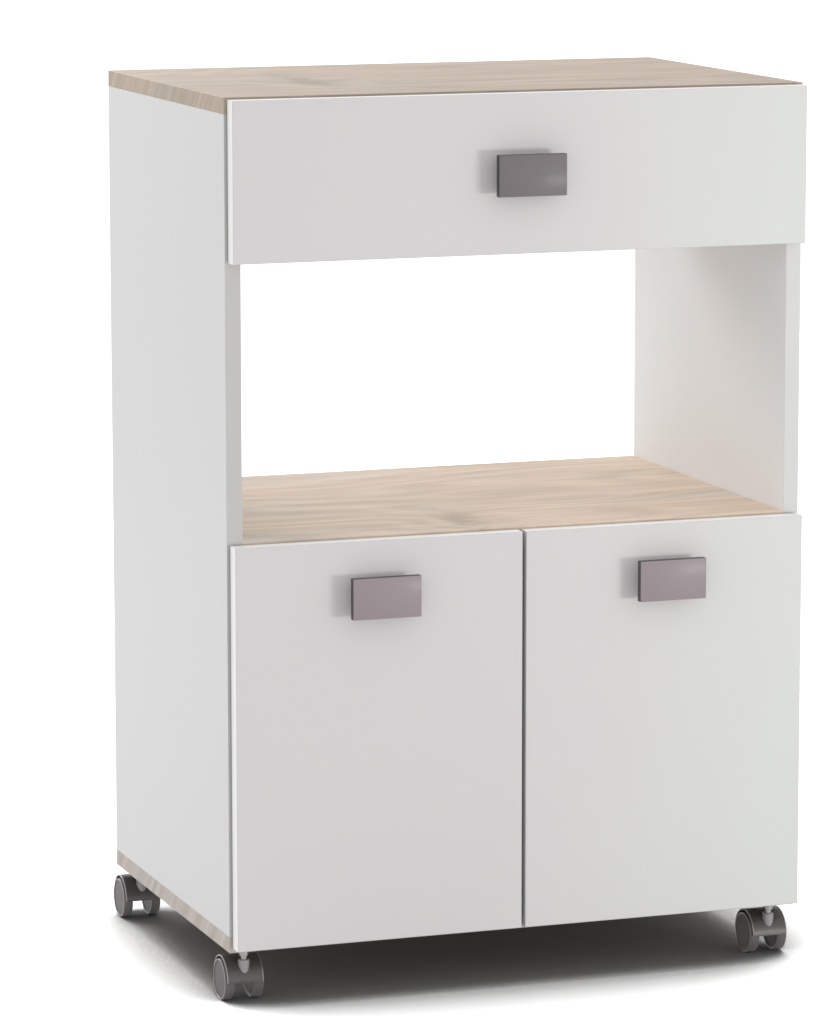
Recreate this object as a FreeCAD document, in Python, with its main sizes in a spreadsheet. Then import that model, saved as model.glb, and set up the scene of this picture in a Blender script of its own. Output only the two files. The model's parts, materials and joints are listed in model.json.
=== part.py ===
"""Microwave cart: a drawer under an oak top, an open niche, a two-door cupboard, four casters.

Frame: X across the cart with 0 on its centre plane, Y from front (negative) to back, Z up from the
floor.  Y = 0 lies under the middle of the overall depth, handles and rear casters included.
All sizes are millimetres.  Small hidden fasteners and their holes are prisms with few sides, and
wheels and hoods, which repeat, are prisms with many.  Pivot pins, rollers, wheel bores and stem
bosses are round.
"""
import FreeCAD, Part
import Sketcher
import math
import os
import re

DOC = FreeCAD.newDocument("MicrowaveCart")
SHEET = DOC.addObject("Spreadsheet::Sheet", "Sizes")

# ---------------------------------------------------------------- driving dimensions
SIZES = {
    # overall carcass
    "cart_width": 600,              # over the side panels
    "carcass_depth": 400,           # front edge to back edge of the side panels
    "cart_height": 890,             # floor to worktop
    "caster_height": 55,            # floor to the underside of the bottom panel
    "board": 16,                    # carcass board thickness
    "niche_shelf_height": 461,      # floor to the top of the microwave shelf
    # fronts
    "front_board": 16,              # thickness of the doors and the drawer front
    "front_gap": 2,                 # between the fronts and the carcass edges
    "side_reveal": 3,               # how far the fronts stop short of the outer side faces
    "door_gap": 4,                  # between the two doors
    "drawer_front_drop": 2,         # drawer front top below the worktop
    "drawer_front_height": 156,
    "door_drop": 2.5,               # door top below the microwave shelf top
    "door_lift": 5,                 # door bottom above the carcass underside
    "front_edge_chamfer": 0.5,      # broken edges of the fronts' visible faces
    # back panel, rear rail, loose shelf
    "back_board": 3,
    "back_inset": 10,               # back panel's rear face to the rear edge of the sides
    "groove_depth": 6,
    "groove_play": 0.2,             # free space around a thin panel in its groove
    "rail_height": 80,
    "rail_inset": 2,                # rear rail in from the rear edge
    "loose_shelf_front": 48,        # front edge of the loose shelf behind the carcass edge
    "loose_shelf_setback": 22,      # rear edge of the loose shelf to the rear edge of the sides
    "loose_shelf_play": 1,          # free space at each end of the loose shelf
    "loose_shelf_height": 258,      # floor to the centre of the shelf pins
    "pin_radius": 2.5,
    "pin_depth": 8,                 # shelf pin length inside the side panel
    "pin_reach": 9,                 # shelf pin length under the shelf
    "pin_inset": 37,                # shelf pins in from the loose shelf's edges
    # cam joints
    "cam_radius": 7.5,
    "cam_thickness": 12.5,
    "cam_distance": 34,             # cam centre to the end of its board
    "cam_bolt_radius": 3,
    "cam_bolt_depth": 11,           # cam bolt length in the face that it is screwed into
    "cam_joint_inset": 50,          # cam joints in from the front and rear edges
    "hole_play": 0.1,               # radial space around cams, bolts and screws
    # roller runners of the drawer
    "drawer_rear_space": 32,        # behind the runners, in front of the rear rail
    "runner_space": 12.5,           # side panel to drawer side
    "runner_wall": 1.2,
    "runner_setback": 4,            # runner front end behind the carcass edge
    "runner_lip": 11,               # lip of the drawer runner under the drawer side
    "runner_screw_inset": 60,       # runner screws in from the runner's ends
    "roller_radius": 10,
    "roller_width": 8,
    "roller_gap": 0.15,             # roller to the track that it rolls on
    "roller_pin_radius": 2.5,
    "roller_inset": 13,             # roller axis in from the runner's end
    "turning_play": 0.05,           # radial space of every turning pin in its bore
    # drawer box
    "drawer_side_board": 12,
    "drawer_side_height": 100,
    "drawer_lift": 20,              # drawer side bottom above the bottom edge of its front
    "drawer_bottom_board": 3,
    "drawer_bottom_lift": 10,       # groove above the bottom edge of the drawer sides
    "drawer_groove_depth": 5,
    "drawer_back_housing": 4,       # how deep the drawer back is let into the sides
    "drawer_back_setback": 8,       # drawer back in from the rear ends of the sides
    "drawer_cam_radius": 6,
    "drawer_cam_thickness": 9.5,
    "drawer_cam_distance": 24,
    "drawer_cam_low": 34,           # lower and upper drawer cams above the drawer side bottom
    "drawer_cam_high": 80,
    # screws
    "screw_radius": 2.5,            # runner and hinge plate screws
    "screw_depth": 11,
    "screw_head_radius": 4,
    "screw_head_length": 0.8,
    "lip_screw_radius": 1.7,        # screws through the runner's lip into the drawer side
    "lip_screw_depth": 9,
    "lip_screw_head_radius": 3.2,
    # handles
    "handle_width": 70,
    "handle_height": 40.5,
    "handle_plate": 8,
    "handle_stand_off": 13,
    "handle_post_radius": 5,
    "handle_post_socket": 2,        # how far the post runs into the plate
    "handle_hole_pitch": 32,
    "handle_chamfer": 0.6,
    "door_handle_drop": 53.5,       # handle centre below the door top
    "handle_screw_radius": 2,
    "handle_screw_depth": 9,        # screw length inside the handle post
    "handle_screw_head_radius": 4,
    "handle_screw_head_length": 2,
    # cup hinges with one pivot
    "hinge_axis_in": 8.5,           # hinge axis in from the outer face of the side panel
    "hinge_axis_forward": 10.5,     # hinge axis in front of the carcass edge
    "hinge_end_distance": 75,       # hinge centre to the door's top or bottom edge
    "cup_radius": 17.5,
    "cup_edge": 2.5,                # door edge to the rim of the cup bore
    "cup_depth": 12.5,
    "cup_wall": 0.8,
    "cup_flange": 1,
    "cup_flange_width": 14,
    "cup_flange_length": 58,
    "cup_flange_offset": 8,         # flange and plugs further in than the cup's centre
    "cup_dowel_pitch": 45,          # the two plugs that hold the cup in the door
    "cup_dowel_radius": 4,
    "cup_dowel_depth": 9,
    "hinge_pin_radius": 1,
    "hinge_pin_length": 15,
    "hinge_eye_radius": 1.65,
    "hinge_eye_width": 5,
    "hinge_arm_plate": 2,           # sheet thickness of the arm
    "hinge_arm_width": 12,
    "hinge_arm_leg": 11.9,          # hinge axis to the middle of the arm's long leg
    "hinge_arm_fall": 1.5,          # how far the arm's short leg dips inside the cup
    "hinge_arm_back": 52,           # arm's rear end behind the carcass edge
    "hinge_screw_row": 37,          # hinge plate screws behind the carcass edge
    "hinge_screw_pitch": 32,
    "hinge_plate_length": 44,
    "hinge_plate_height": 44,
    "hinge_plate_front": 14,        # plate's front edge behind the carcass edge
    "hinge_plate_bar": 14,          # height of the plate's middle bar under the arm
    "hinge_wing_length": 22,        # the plate's two screw wings, along the arm
    # casters
    "wheel_radius": 20.5,
    "wheel_width": 10,
    "caster_width": 40,             # over both wheels
    "caster_trail": 17.5,           # axle behind the stem
    "caster_inset_side": 20,        # stem in from the outer side face
    "caster_inset_front": 18,       # stem behind the carcass front edge
    "caster_inset_rear": 24,        # stem in front of the carcass rear edge
    "hood_radius": 24,
    "hood_wall": 1.5,
    "hood_end_inset": 1.5,          # wheels' outer faces outside the hood's ends
    "hood_skirt": 0.8,              # hood's lower edge above the axle
    "wheel_side_gap": 0.5,
    "axle_radius": 2,
    "axle_lug_radius": 3.8,
    "axle_end": 3,                  # axle end in from the wheel's outer face
    "boss_radius": 5.7,
    "boss_tip_radius": 4.2,
    "boss_top_drop": 11.7,          # boss top below the carcass underside
    "boss_straight": 5.5,           # straight part of the boss
    "boss_taper": 9,                # tapered lower end of the boss
    "stem_radius": 3.15,
    "stem_depth": 18.5,             # stem end below the carcass underside
    "socket_end_gap": 0.5,
    "collar_radius": 4.7,
    "collar_bottom": 7.8,           # collar's lower face below the carcass underside
    "stem_thread_radius": 4,
    "stem_thread_length": 12,
    "nut_radius": 5.5,
    "nut_length": 13,
    "nut_flange_radius": 8,
    "nut_flange": 1.5,
}

# ---------------------------------------------------------------- dimensions worked out from them
DERIVED = {
    "inner_width": "cart_width - 2 * board",
    "rear_overhang": "caster_trail + hood_radius - caster_inset_rear",
    "handle_reach": "handle_stand_off + handle_plate",
    "front_reach": "front_gap + front_board + handle_reach",
    "front_edge": "-(carcass_depth + rear_overhang - front_reach) / 2",
    "side_bottom": "caster_height + board",
    "side_top": "cart_height - board",
    "side_height": "side_top - side_bottom",
    "shelf_bottom": "niche_shelf_height - board",
    "front_back_face": "front_edge - front_gap",
    "front_face": "front_back_face - front_board",
    "back_face": "front_edge + carcass_depth",
    "inner_left": "-cart_width / 2 + board",
    "back_groove_start": "carcass_depth - back_inset - back_board - groove_play",
    "back_groove_width": "back_board + 2 * groove_play",
    "loose_shelf_depth": "carcass_depth - loose_shelf_front - loose_shelf_setback",
    # drawer
    "runner_length": "carcass_depth - rail_inset - board - drawer_rear_space",
    "drawer_front_bottom": "cart_height - drawer_front_drop - drawer_front_height",
    "drawer_bottom_edge": "drawer_front_bottom + drawer_lift",
    "drawer_left": "inner_left + runner_space",
    "drawer_inner_left": "drawer_left + drawer_side_board",
    "drawer_inner_width": "-2 * drawer_inner_left",
    "drawer_groove_height": "drawer_bottom_board + groove_play",
    "drawer_floor": "drawer_bottom_lift + drawer_groove_height",
    "runner_bottom": "drawer_bottom_edge - runner_wall",
    "track_height": "runner_wall + 2 * roller_gap + 2 * roller_radius",
    "channel_height": "track_height + 2 * runner_wall + 2 * roller_gap",
    "roller_rise": "runner_wall + roller_gap + roller_radius",
    "runner_front": "front_edge + runner_setback",
    "runner_screw_rise": "channel_height / 2",
    # doors
    "door_bottom": "caster_height + door_lift",
    "door_top": "niche_shelf_height - door_drop",
    "door_height": "door_top - door_bottom",
    "door_width": "(cart_width - 2 * side_reveal - door_gap) / 2",
    "fronts_left": "-cart_width / 2 + side_reveal",
    "cup_centre_x": "fronts_left + cup_edge + cup_radius",
    "low_hinge": "door_bottom + hinge_end_distance",
    "high_hinge": "door_top - hinge_end_distance",
    "hinge_mid": "(door_bottom + door_top) / 2",
    "hinge_x": "-cart_width / 2 + hinge_axis_in",
    "hinge_y": "front_edge - hinge_axis_forward",
    "arm_leg_x": "hinge_x + hinge_arm_leg - hinge_arm_plate / 2",
    "hinge_plate_thickness": "arm_leg_x - inner_left",
    # holes
    "cam_hole": "cam_radius + hole_play",
    "cam_hole_depth": "cam_thickness + hole_play",
    "bolt_hole": "cam_bolt_radius + hole_play",
    "bolt_hole_depth": "cam_bolt_depth + hole_play",
    "screw_hole": "screw_radius + hole_play",
    "lip_screw_hole": "lip_screw_radius + hole_play",
    "handle_screw_hole": "handle_screw_radius + hole_play",
}

# sides of the prisms that stand for small round pieces and their holes
SCREW_SIDES = 6
CAM_SIDES = 8
PIN_SIDES = 12
CUP_SIDES = 20
WHEEL_SIDES = 32
HOOD_SIDES = 40

WORD = re.compile(r"[A-Za-z_]\w*")


def formula(text):
    """Write out a formula of size names as an expression on the sheet's cells."""
    def replace(match):
        name = match.group(0)
        if name in DERIVED:
            return "(" + formula(DERIVED[name]) + ")"
        return "Sizes." + name
    return WORD.sub(replace, str(text))


def number(text):
    """The present value of a formula, used for first positions and for choosing edges."""
    found = SHEET.evalExpression(formula(text))
    return float(getattr(found, "Value", found))


def fill_sheet():
    for row, (name, size) in enumerate(SIZES.items(), start=1):
        SHEET.set("A%d" % row, name)
        SHEET.set("B%d" % row, str(size))
        SHEET.setAlias("B%d" % row, name)
    DOC.recompute()


def bind(item, **sizes):
    """Tie properties of an object to formulas; a double underscore stands for a dot."""
    for name, text in sizes.items():
        item.setExpression(name.replace("__", "."), formula(text))
    return item


def place(item, x=0, y=0, z=0):
    return bind(item, Placement__Base__x=x, Placement__Base__y=y, Placement__Base__z=z)


def around(radius, sides=PIN_SIDES):
    """Corner radius of a polygon whose flats stand at the given radius."""
    return "(%s) * %.6f" % (radius, 1 / math.cos(math.pi / sides))


def flats(radius, sides=SCREW_SIDES):
    """Distance from the middle of a polygon with this corner radius to its flats."""
    return "(%s) * %.6f" % (radius, math.cos(math.pi / sides))


# ---------------------------------------------------------------- sketched bodies
def new_body(label):
    body = DOC.addObject("PartDesign::Body", label)
    body.Label = label
    return body


def new_sketch(body, plane, offset=0):
    """A sketch on one of the body's own origin planes, moved along the plane's normal."""
    sketch = body.newObject("Sketcher::SketchObject", body.Label + "_sketch")
    face = [f for f in body.Origin.OriginFeatures if f.Role == plane + "_Plane"][0]
    sketch.AttachmentSupport = [(face, "")]
    sketch.MapMode = "FlatFace"
    sign = "-" if plane == "XZ" else ""
    sketch.setExpression("AttachmentOffset.Base.z", formula("%s(%s)" % (sign, offset)))
    return sketch


def pin_point(sketch, shape, end, x, y):
    """Hold one point of the sketch at a place given by two formulas."""
    for kind, text in (("DistanceX", x), ("DistanceY", y)):
        index = sketch.addConstraint(Sketcher.Constraint(kind, -1, 1, shape, end, number(text)))
        sketch.setExpression("Constraints[%d]" % index, formula(text))


def outline(sketch, points):
    """A closed outline of straight edges through the given points."""
    spots = [FreeCAD.Vector(number(x), number(y), 0) for x, y in points]
    first = sketch.GeometryCount
    count = len(points)
    for index in range(count):
        sketch.addGeometry(Part.LineSegment(spots[index], spots[(index + 1) % count]), False)
    for index in range(count):
        following = first + (index + 1) % count
        sketch.addConstraint(Sketcher.Constraint("Coincident", first + index, 2, following, 1))
        pin_point(sketch, first + index, 1, *points[index])
    return sketch


def rectangle(sketch, x, y, width, height):
    right = "(%s) + (%s)" % (x, width)
    top = "(%s) + (%s)" % (y, height)
    return outline(sketch, [(x, y), (right, y), (right, top), (x, top)])


def polygon(sketch, x, y, radius, sides):
    """A regular polygon with one corner on the sketch's X direction."""
    corners = []
    for step in range(sides):
        angle = 2 * math.pi * step / sides
        corners.append(("(%s) + (%s) * (%.6f)" % (x, radius, math.cos(angle)),
                        "(%s) + (%s) * (%.6f)" % (y, radius, math.sin(angle))))
    return outline(sketch, corners)


def circle(sketch, x, y, radius):
    spot = FreeCAD.Vector(number(x), number(y), 0)
    normal = FreeCAD.Vector(0, 0, 1)
    shape = sketch.addGeometry(Part.Circle(spot, normal, number(radius)), False)
    pin_point(sketch, shape, 3, x, y)
    index = sketch.addConstraint(Sketcher.Constraint("Radius", shape, number(radius)))
    sketch.setExpression("Constraints[%d]" % index, formula(radius))
    return sketch


def pad(body, sketch, length, reverse=False, both=False):
    feature = body.newObject("PartDesign::Pad", body.Label + "_pad")
    feature.Profile = sketch
    feature.Reversed = reverse
    feature.Midplane = both
    return bind(feature, Length=length)


def pocket(body, sketch, depth, forward=False, both=False):
    """Cut against the sketch's normal, or along it when forward is set."""
    feature = body.newObject("PartDesign::Pocket", body.Label + "_pocket")
    feature.Profile = sketch
    feature.Reversed = forward
    feature.Midplane = both
    return bind(feature, Length=depth)


def turn(body, sketch):
    """Revolve the sketch about its own vertical axis."""
    feature = body.newObject("PartDesign::Revolution", body.Label + "_turned")
    feature.Profile = sketch
    feature.ReferenceAxis = (sketch, ["V_Axis"])
    feature.Angle = 360
    return feature


def chamfer(body, size, wanted=lambda edge: True):
    """Break the edges of the body that the test picks."""
    DOC.recompute()
    base = body.Tip
    names = ["Edge%d" % (i + 1) for i, edge in enumerate(base.Shape.Edges) if wanted(edge)]
    feature = body.newObject("PartDesign::Chamfer", body.Label + "_chamfer")
    feature.Base = (base, names)
    return bind(feature, Size=size)


def slab(label, width, depth, height):
    """A board with its lower left front corner at the body's origin."""
    body = new_body(label)
    pad(body, rectangle(new_sketch(body, "XY"), 0, 0, width, depth), height)
    return body


def holes(body, plane, mouth, centres, radius, depth, forward, sides=SCREW_SIDES):
    """Holes of one size, cut from the plane at the given offset."""
    sketch = new_sketch(body, plane, mouth)
    for x, y in centres:
        polygon(sketch, x, y, radius, sides)
    return pocket(body, sketch, depth, forward)


# ---------------------------------------------------------------- simple solids and groups
# each turn brings a prism's axis to its direction and a corner to the sketches' X direction
TURNS = {
    "x": FreeCAD.Rotation(FreeCAD.Vector(1, 1, 1), 120),
    "y": FreeCAD.Rotation(FreeCAD.Vector(1, 0, 0), -90),
    "z": FreeCAD.Rotation(),
}


def prism(axis, start, radius, length, sides=SCREW_SIDES):
    """A bar with flat sides, from its start point along +X, +Y or +Z."""
    item = DOC.addObject("Part::Prism", "prism")
    item.Polygon = sides
    item.Placement = FreeCAD.Placement(FreeCAD.Vector(), TURNS[axis])
    bind(item, Circumradius=radius, Height=length)
    return place(item, *start)


def stepped(axis, start, steps):
    """Coaxial bars end to end, as one solid; each step is (radius, length, sides)."""
    bars = []
    spot = list(start)
    for radius, length, sides in steps:
        bars.append(prism(axis, spot, radius, length, sides))
        spot["xyz".index(axis)] += " + " + length
    solid = DOC.addObject("Part::MultiFuse", "stepped")
    solid.Shapes = bars
    return solid


def cut(base, tool):
    item = DOC.addObject("Part::Cut", "cut")
    item.Base = base
    item.Tool = tool
    return item


def group(label, members):
    """Separate solids that share one node."""
    item = DOC.addObject("Part::Compound", label)
    item.Links = members
    item.Label = label
    return item


def mirror(source, label="mirrored", normal=(1, 0, 0), height=None):
    item = DOC.addObject("Part::Mirroring", label)
    item.Source = source
    item.Normal = FreeCAD.Vector(*normal)
    item.Label = label
    if height is not None:
        item.setExpression("Base.z", formula(height))
    return item


def block(label, x, y, z, length, width, height):
    item = DOC.addObject("Part::Box", label)
    item.Label = label
    bind(item, Length=length, Width=width, Height=height)
    return place(item, x, y, z)


NODES = []


def keep(item):
    NODES.append(item)
    return item


def keep_pair(item, left_name, right_name):
    """Keep a left piece and its mirror image on the right."""
    item.Label = left_name
    keep(item)
    return keep(mirror(item, right_name))


# ---------------------------------------------------------------- rows that several makers share
def joint_rows():
    """Front and rear cam joints along a board's depth."""
    return ["cam_joint_inset", "carcass_depth - cam_joint_inset"]


def shelf_pin_rows(start):
    rear_edge = start + " + carcass_depth - loose_shelf_setback"
    return [start + " + loose_shelf_front + pin_inset", rear_edge + " - pin_inset"]


def runner_screw_rows(start):
    return [start + " + runner_screw_inset", start + " + runner_length - runner_screw_inset"]


def hinge_screw_heights():
    return ["%s %s hinge_screw_pitch / 2" % (hinge, sign)
            for hinge in ("low_hinge", "high_hinge") for sign in "-+"]


# ---------------------------------------------------------------- carcass boards
def end_bores(board, rows, height):
    """Bolt bores into both ends of a cross board, as far as its cams."""
    for mouth, inward in (("0", True), ("inner_width", False)):
        holes(board, "YZ", mouth, [(row, height) for row in rows], "bolt_hole", "cam_distance", inward)


def make_top_and_bottom():
    columns = ["board / 2", "cart_width - board / 2"]
    bolts = [(x, y) for x in columns for y in joint_rows()]
    top = slab("top_panel", "cart_width", "carcass_depth", "board")
    place(top, "-cart_width / 2", "front_edge", "side_top")
    holes(top, "XY", "0", bolts, "bolt_hole", "bolt_hole_depth", True)
    keep(top)

    bottom = slab("bottom_panel", "cart_width", "carcass_depth", "board")
    place(bottom, "-cart_width / 2", "front_edge", "caster_height")
    holes(bottom, "XY", "board", bolts, "bolt_hole", "bolt_hole_depth", False)
    nuts = [(x, y) for x in ("caster_inset_side", "cart_width - caster_inset_side")
            for y in ("caster_inset_front", "carcass_depth - caster_inset_rear")]
    holes(bottom, "XY", "0", nuts, "nut_radius + hole_play", "nut_length + hole_play", True, CAM_SIDES)
    groove = rectangle(new_sketch(bottom, "XY", "board"), "board - groove_depth", "back_groove_start",
                       "inner_width + 2 * groove_depth", "back_groove_width")
    pocket(bottom, groove, "groove_depth")
    keep(bottom)


def make_sides():
    side = slab("side_panel_left", "board", "carcass_depth", "side_height")
    place(side, "-cart_width / 2", "front_edge", "side_bottom")
    for mouth, upward in (("0", True), ("side_height", False)):
        rows = [("board / 2", row) for row in joint_rows()]
        holes(side, "XY", mouth, rows, "bolt_hole", "cam_distance", upward)
    cams = [(row, z) for row in joint_rows() for z in ("cam_distance", "side_height - cam_distance")]
    holes(side, "YZ", "board", cams, "cam_hole", "cam_hole_depth", False, CAM_SIDES)
    bolts = [(row, "shelf_bottom + board / 2 - side_bottom") for row in joint_rows()]
    bolts.append(("carcass_depth - rail_inset - board / 2", "side_top - rail_height / 2 - side_bottom"))
    holes(side, "YZ", "board", bolts, "bolt_hole", "bolt_hole_depth", False)
    screws = [(row, "runner_bottom + runner_screw_rise - side_bottom")
              for row in runner_screw_rows("runner_setback")]
    screws += [("hinge_screw_row", height + " - side_bottom") for height in hinge_screw_heights()]
    holes(side, "YZ", "board", screws, "screw_hole", "screw_depth + hole_play", False)
    pins = [(row, "loose_shelf_height - side_bottom") for row in shelf_pin_rows("0")]
    holes(side, "YZ", "board", pins, "pin_radius + hole_play", "pin_depth + hole_play", False)
    groove = rectangle(new_sketch(side, "YZ", "board"), "back_groove_start", "0", "back_groove_width",
                       "shelf_bottom + groove_depth - side_bottom")
    pocket(side, groove, "groove_depth")
    keep_pair(side, "side_panel_left", "side_panel_right")


def make_shelf_and_rail():
    cam_columns = ("cam_distance", "inner_width - cam_distance")
    shelf = slab("microwave_shelf", "inner_width", "carcass_depth", "board")
    place(shelf, "inner_left", "front_edge", "shelf_bottom")
    end_bores(shelf, joint_rows(), "board / 2")
    cams = [(x, row) for x in cam_columns for row in joint_rows()]
    holes(shelf, "XY", "0", cams, "cam_hole", "cam_hole_depth", True, CAM_SIDES)
    groove = rectangle(new_sketch(shelf, "XY"), "0", "back_groove_start", "inner_width",
                       "back_groove_width")
    pocket(shelf, groove, "groove_depth", forward=True)
    keep(shelf)

    rail = slab("rear_rail", "inner_width", "board", "rail_height")
    place(rail, "inner_left", "back_face - rail_inset - board", "side_top - rail_height")
    end_bores(rail, ["board / 2"], "rail_height / 2")
    cams = [(x, "rail_height / 2") for x in cam_columns]
    holes(rail, "XZ", "board", cams, "cam_hole", "cam_hole_depth", True, CAM_SIDES)
    keep(rail)


def make_back_and_loose_shelf():
    bite = "groove_depth - 2 * groove_play"
    keep(block("back_panel", "inner_left - (%s)" % bite, "back_face - back_inset - back_board",
               "side_bottom - (%s)" % bite, "inner_width + 2 * (%s)" % bite, "back_board",
               "shelf_bottom - side_bottom + 2 * (%s)" % bite))
    shelf = slab("inner_shelf", "inner_width - 2 * loose_shelf_play", "loose_shelf_depth", "board")
    place(shelf, "inner_left + loose_shelf_play", "front_edge + loose_shelf_front",
          "loose_shelf_height + " + flats("pin_radius"))
    keep(shelf)
    pins = []
    for y in shelf_pin_rows("front_edge"):
        for start in ("inner_left - pin_depth", "-inner_left - pin_reach"):
            pins.append(prism("x", (start, y, "loose_shelf_height"), "pin_radius",
                              "pin_depth + pin_reach"))
    keep(group("shelf_pins", pins))


# ---------------------------------------------------------------- cam joints
def cam_bolt(axis, face, side, distance="cam_distance", cam_size="cam_radius"):
    """A bolt from inside a board's face to the rim of the cam in the board that meets it."""
    reach = "%s - %s - hole_play" % (distance, cam_size)
    start = list(face)
    start["xyz".index(axis)] += " - cam_bolt_depth" if side > 0 else " - (%s)" % reach
    return prism(axis, start, "cam_bolt_radius", "cam_bolt_depth + " + reach)


def make_cam_joints():
    cams = []
    bolts = []
    board_mid = "cart_width / 2 - board / 2"
    ends = (("inner_left + cam_distance", "inner_left", 1),
            ("-inner_left - cam_distance", "-inner_left", -1))
    for y in ["front_edge + " + row for row in joint_rows()]:
        for height, face, side in (("side_bottom + cam_distance", "side_bottom", 1),
                                   ("side_top - cam_distance", "side_top", -1)):
            for x, start in (("-(%s)" % board_mid, "inner_left - cam_thickness"),
                             (board_mid, "-inner_left")):
                cams.append(prism("x", (start, y, height), "cam_radius", "cam_thickness", CAM_SIDES))
                bolts.append(cam_bolt("z", (x, y, face), side))
        for x, face, side in ends:
            cams.append(prism("z", (x, y, "shelf_bottom"), "cam_radius", "cam_thickness", CAM_SIDES))
            bolts.append(cam_bolt("x", (face, y, "shelf_bottom + board / 2"), side))
    rail_face = "back_face - rail_inset"
    rail_mid = "side_top - rail_height / 2"
    for x, face, side in ends:
        start = (x, rail_face + " - cam_thickness", rail_mid)
        cams.append(prism("y", start, "cam_radius", "cam_thickness", CAM_SIDES))
        bolts.append(cam_bolt("x", (face, rail_face + " - board / 2", rail_mid), side))
    keep(group("cam_discs", cams))
    keep(group("cam_bolts", bolts))


# ---------------------------------------------------------------- drawer runners
def make_runners():
    """Channels on the side panels and tracks on the drawer, each with a pin for its roller."""
    channel = new_body("cabinet_runner_left")
    place(channel, "inner_left", "runner_front", "runner_bottom")
    flange = "runner_space - runner_wall - 3 * roller_gap"
    section = outline(new_sketch(channel, "XZ"), [
        ("0", "0"), (flange, "0"), (flange, "runner_wall"), ("runner_wall", "runner_wall"),
        ("runner_wall", "channel_height - runner_wall"), (flange, "channel_height - runner_wall"),
        (flange, "channel_height"), ("0", "channel_height")])
    pad(channel, section, "runner_length", reverse=True)
    screws = [(row, "runner_screw_rise") for row in runner_screw_rows("0")]
    holes(channel, "YZ", "runner_wall", screws, "screw_hole", "runner_wall", False)
    pin = polygon(new_sketch(channel, "YZ", "runner_wall / 2"), "roller_inset", "roller_rise",
                  "roller_pin_radius", PIN_SIDES)
    pad(channel, pin, flange + " - runner_wall / 2")
    keep_pair(channel, "cabinet_runner_left", "cabinet_runner_right")

    rail = new_body("drawer_runner_left")
    place(rail, "drawer_left", "front_back_face", "runner_bottom")
    track = "runner_space - runner_wall - 5 * roller_gap"
    section = outline(new_sketch(rail, "XZ"), [
        ("runner_lip", "0"), ("runner_lip", "runner_wall"), ("0", "runner_wall"),
        ("0", "track_height + runner_wall"), ("-(%s)" % track, "track_height + runner_wall"),
        ("-(%s)" % track, "track_height"), ("-runner_wall", "track_height"), ("-runner_wall", "0")])
    pad(rail, section, "runner_length", reverse=True)
    pin = polygon(new_sketch(rail, "YZ", "-runner_wall / 2"), "runner_length - roller_inset",
                  "roller_rise", "roller_pin_radius", PIN_SIDES)
    pad(rail, pin, "runner_space - 2 * runner_wall - 4 * roller_gap", reverse=True)
    screws = [("runner_lip / 2", row) for row in runner_screw_rows("0")]
    holes(rail, "XY", "0", screws, "lip_screw_hole", "runner_wall", True)
    keep_pair(rail, "drawer_runner_left", "drawer_runner_right")


def roller(x, y):
    start = (x, y, "runner_bottom + roller_rise")
    tyre = DOC.addObject("Part::Cylinder", "roller")
    tyre.Placement = FreeCAD.Placement(FreeCAD.Vector(), TURNS["x"])
    bind(tyre, Radius="roller_radius", Height="roller_width")
    place(tyre, *start)
    bore = prism("x", start, around("roller_pin_radius + turning_play"), "roller_width", PIN_SIDES)
    return cut(tyre, bore)


def make_rollers():
    start = "inner_left + runner_wall + 6 * roller_gap"
    far_start = "-(%s) - roller_width" % start
    front = "runner_front + roller_inset"
    rear = "front_back_face + runner_length - roller_inset"
    keep(group("cabinet_rollers", [roller(start, front), roller(far_start, front)]))
    keep(group("drawer_rollers", [roller(start, rear), roller(far_start, rear)]))


# ---------------------------------------------------------------- drawer box
def handle_spots(middle, height):
    return [("%s %s handle_hole_pitch / 2" % (middle, sign), height) for sign in "-+"]


def break_front_edges(front):
    """Chamfer the four long edges of the visible face."""
    chamfer(front, "front_edge_chamfer",
            lambda edge: edge.BoundBox.YMax < 1e-4 and edge.Length > number("handle_width"))


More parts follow.
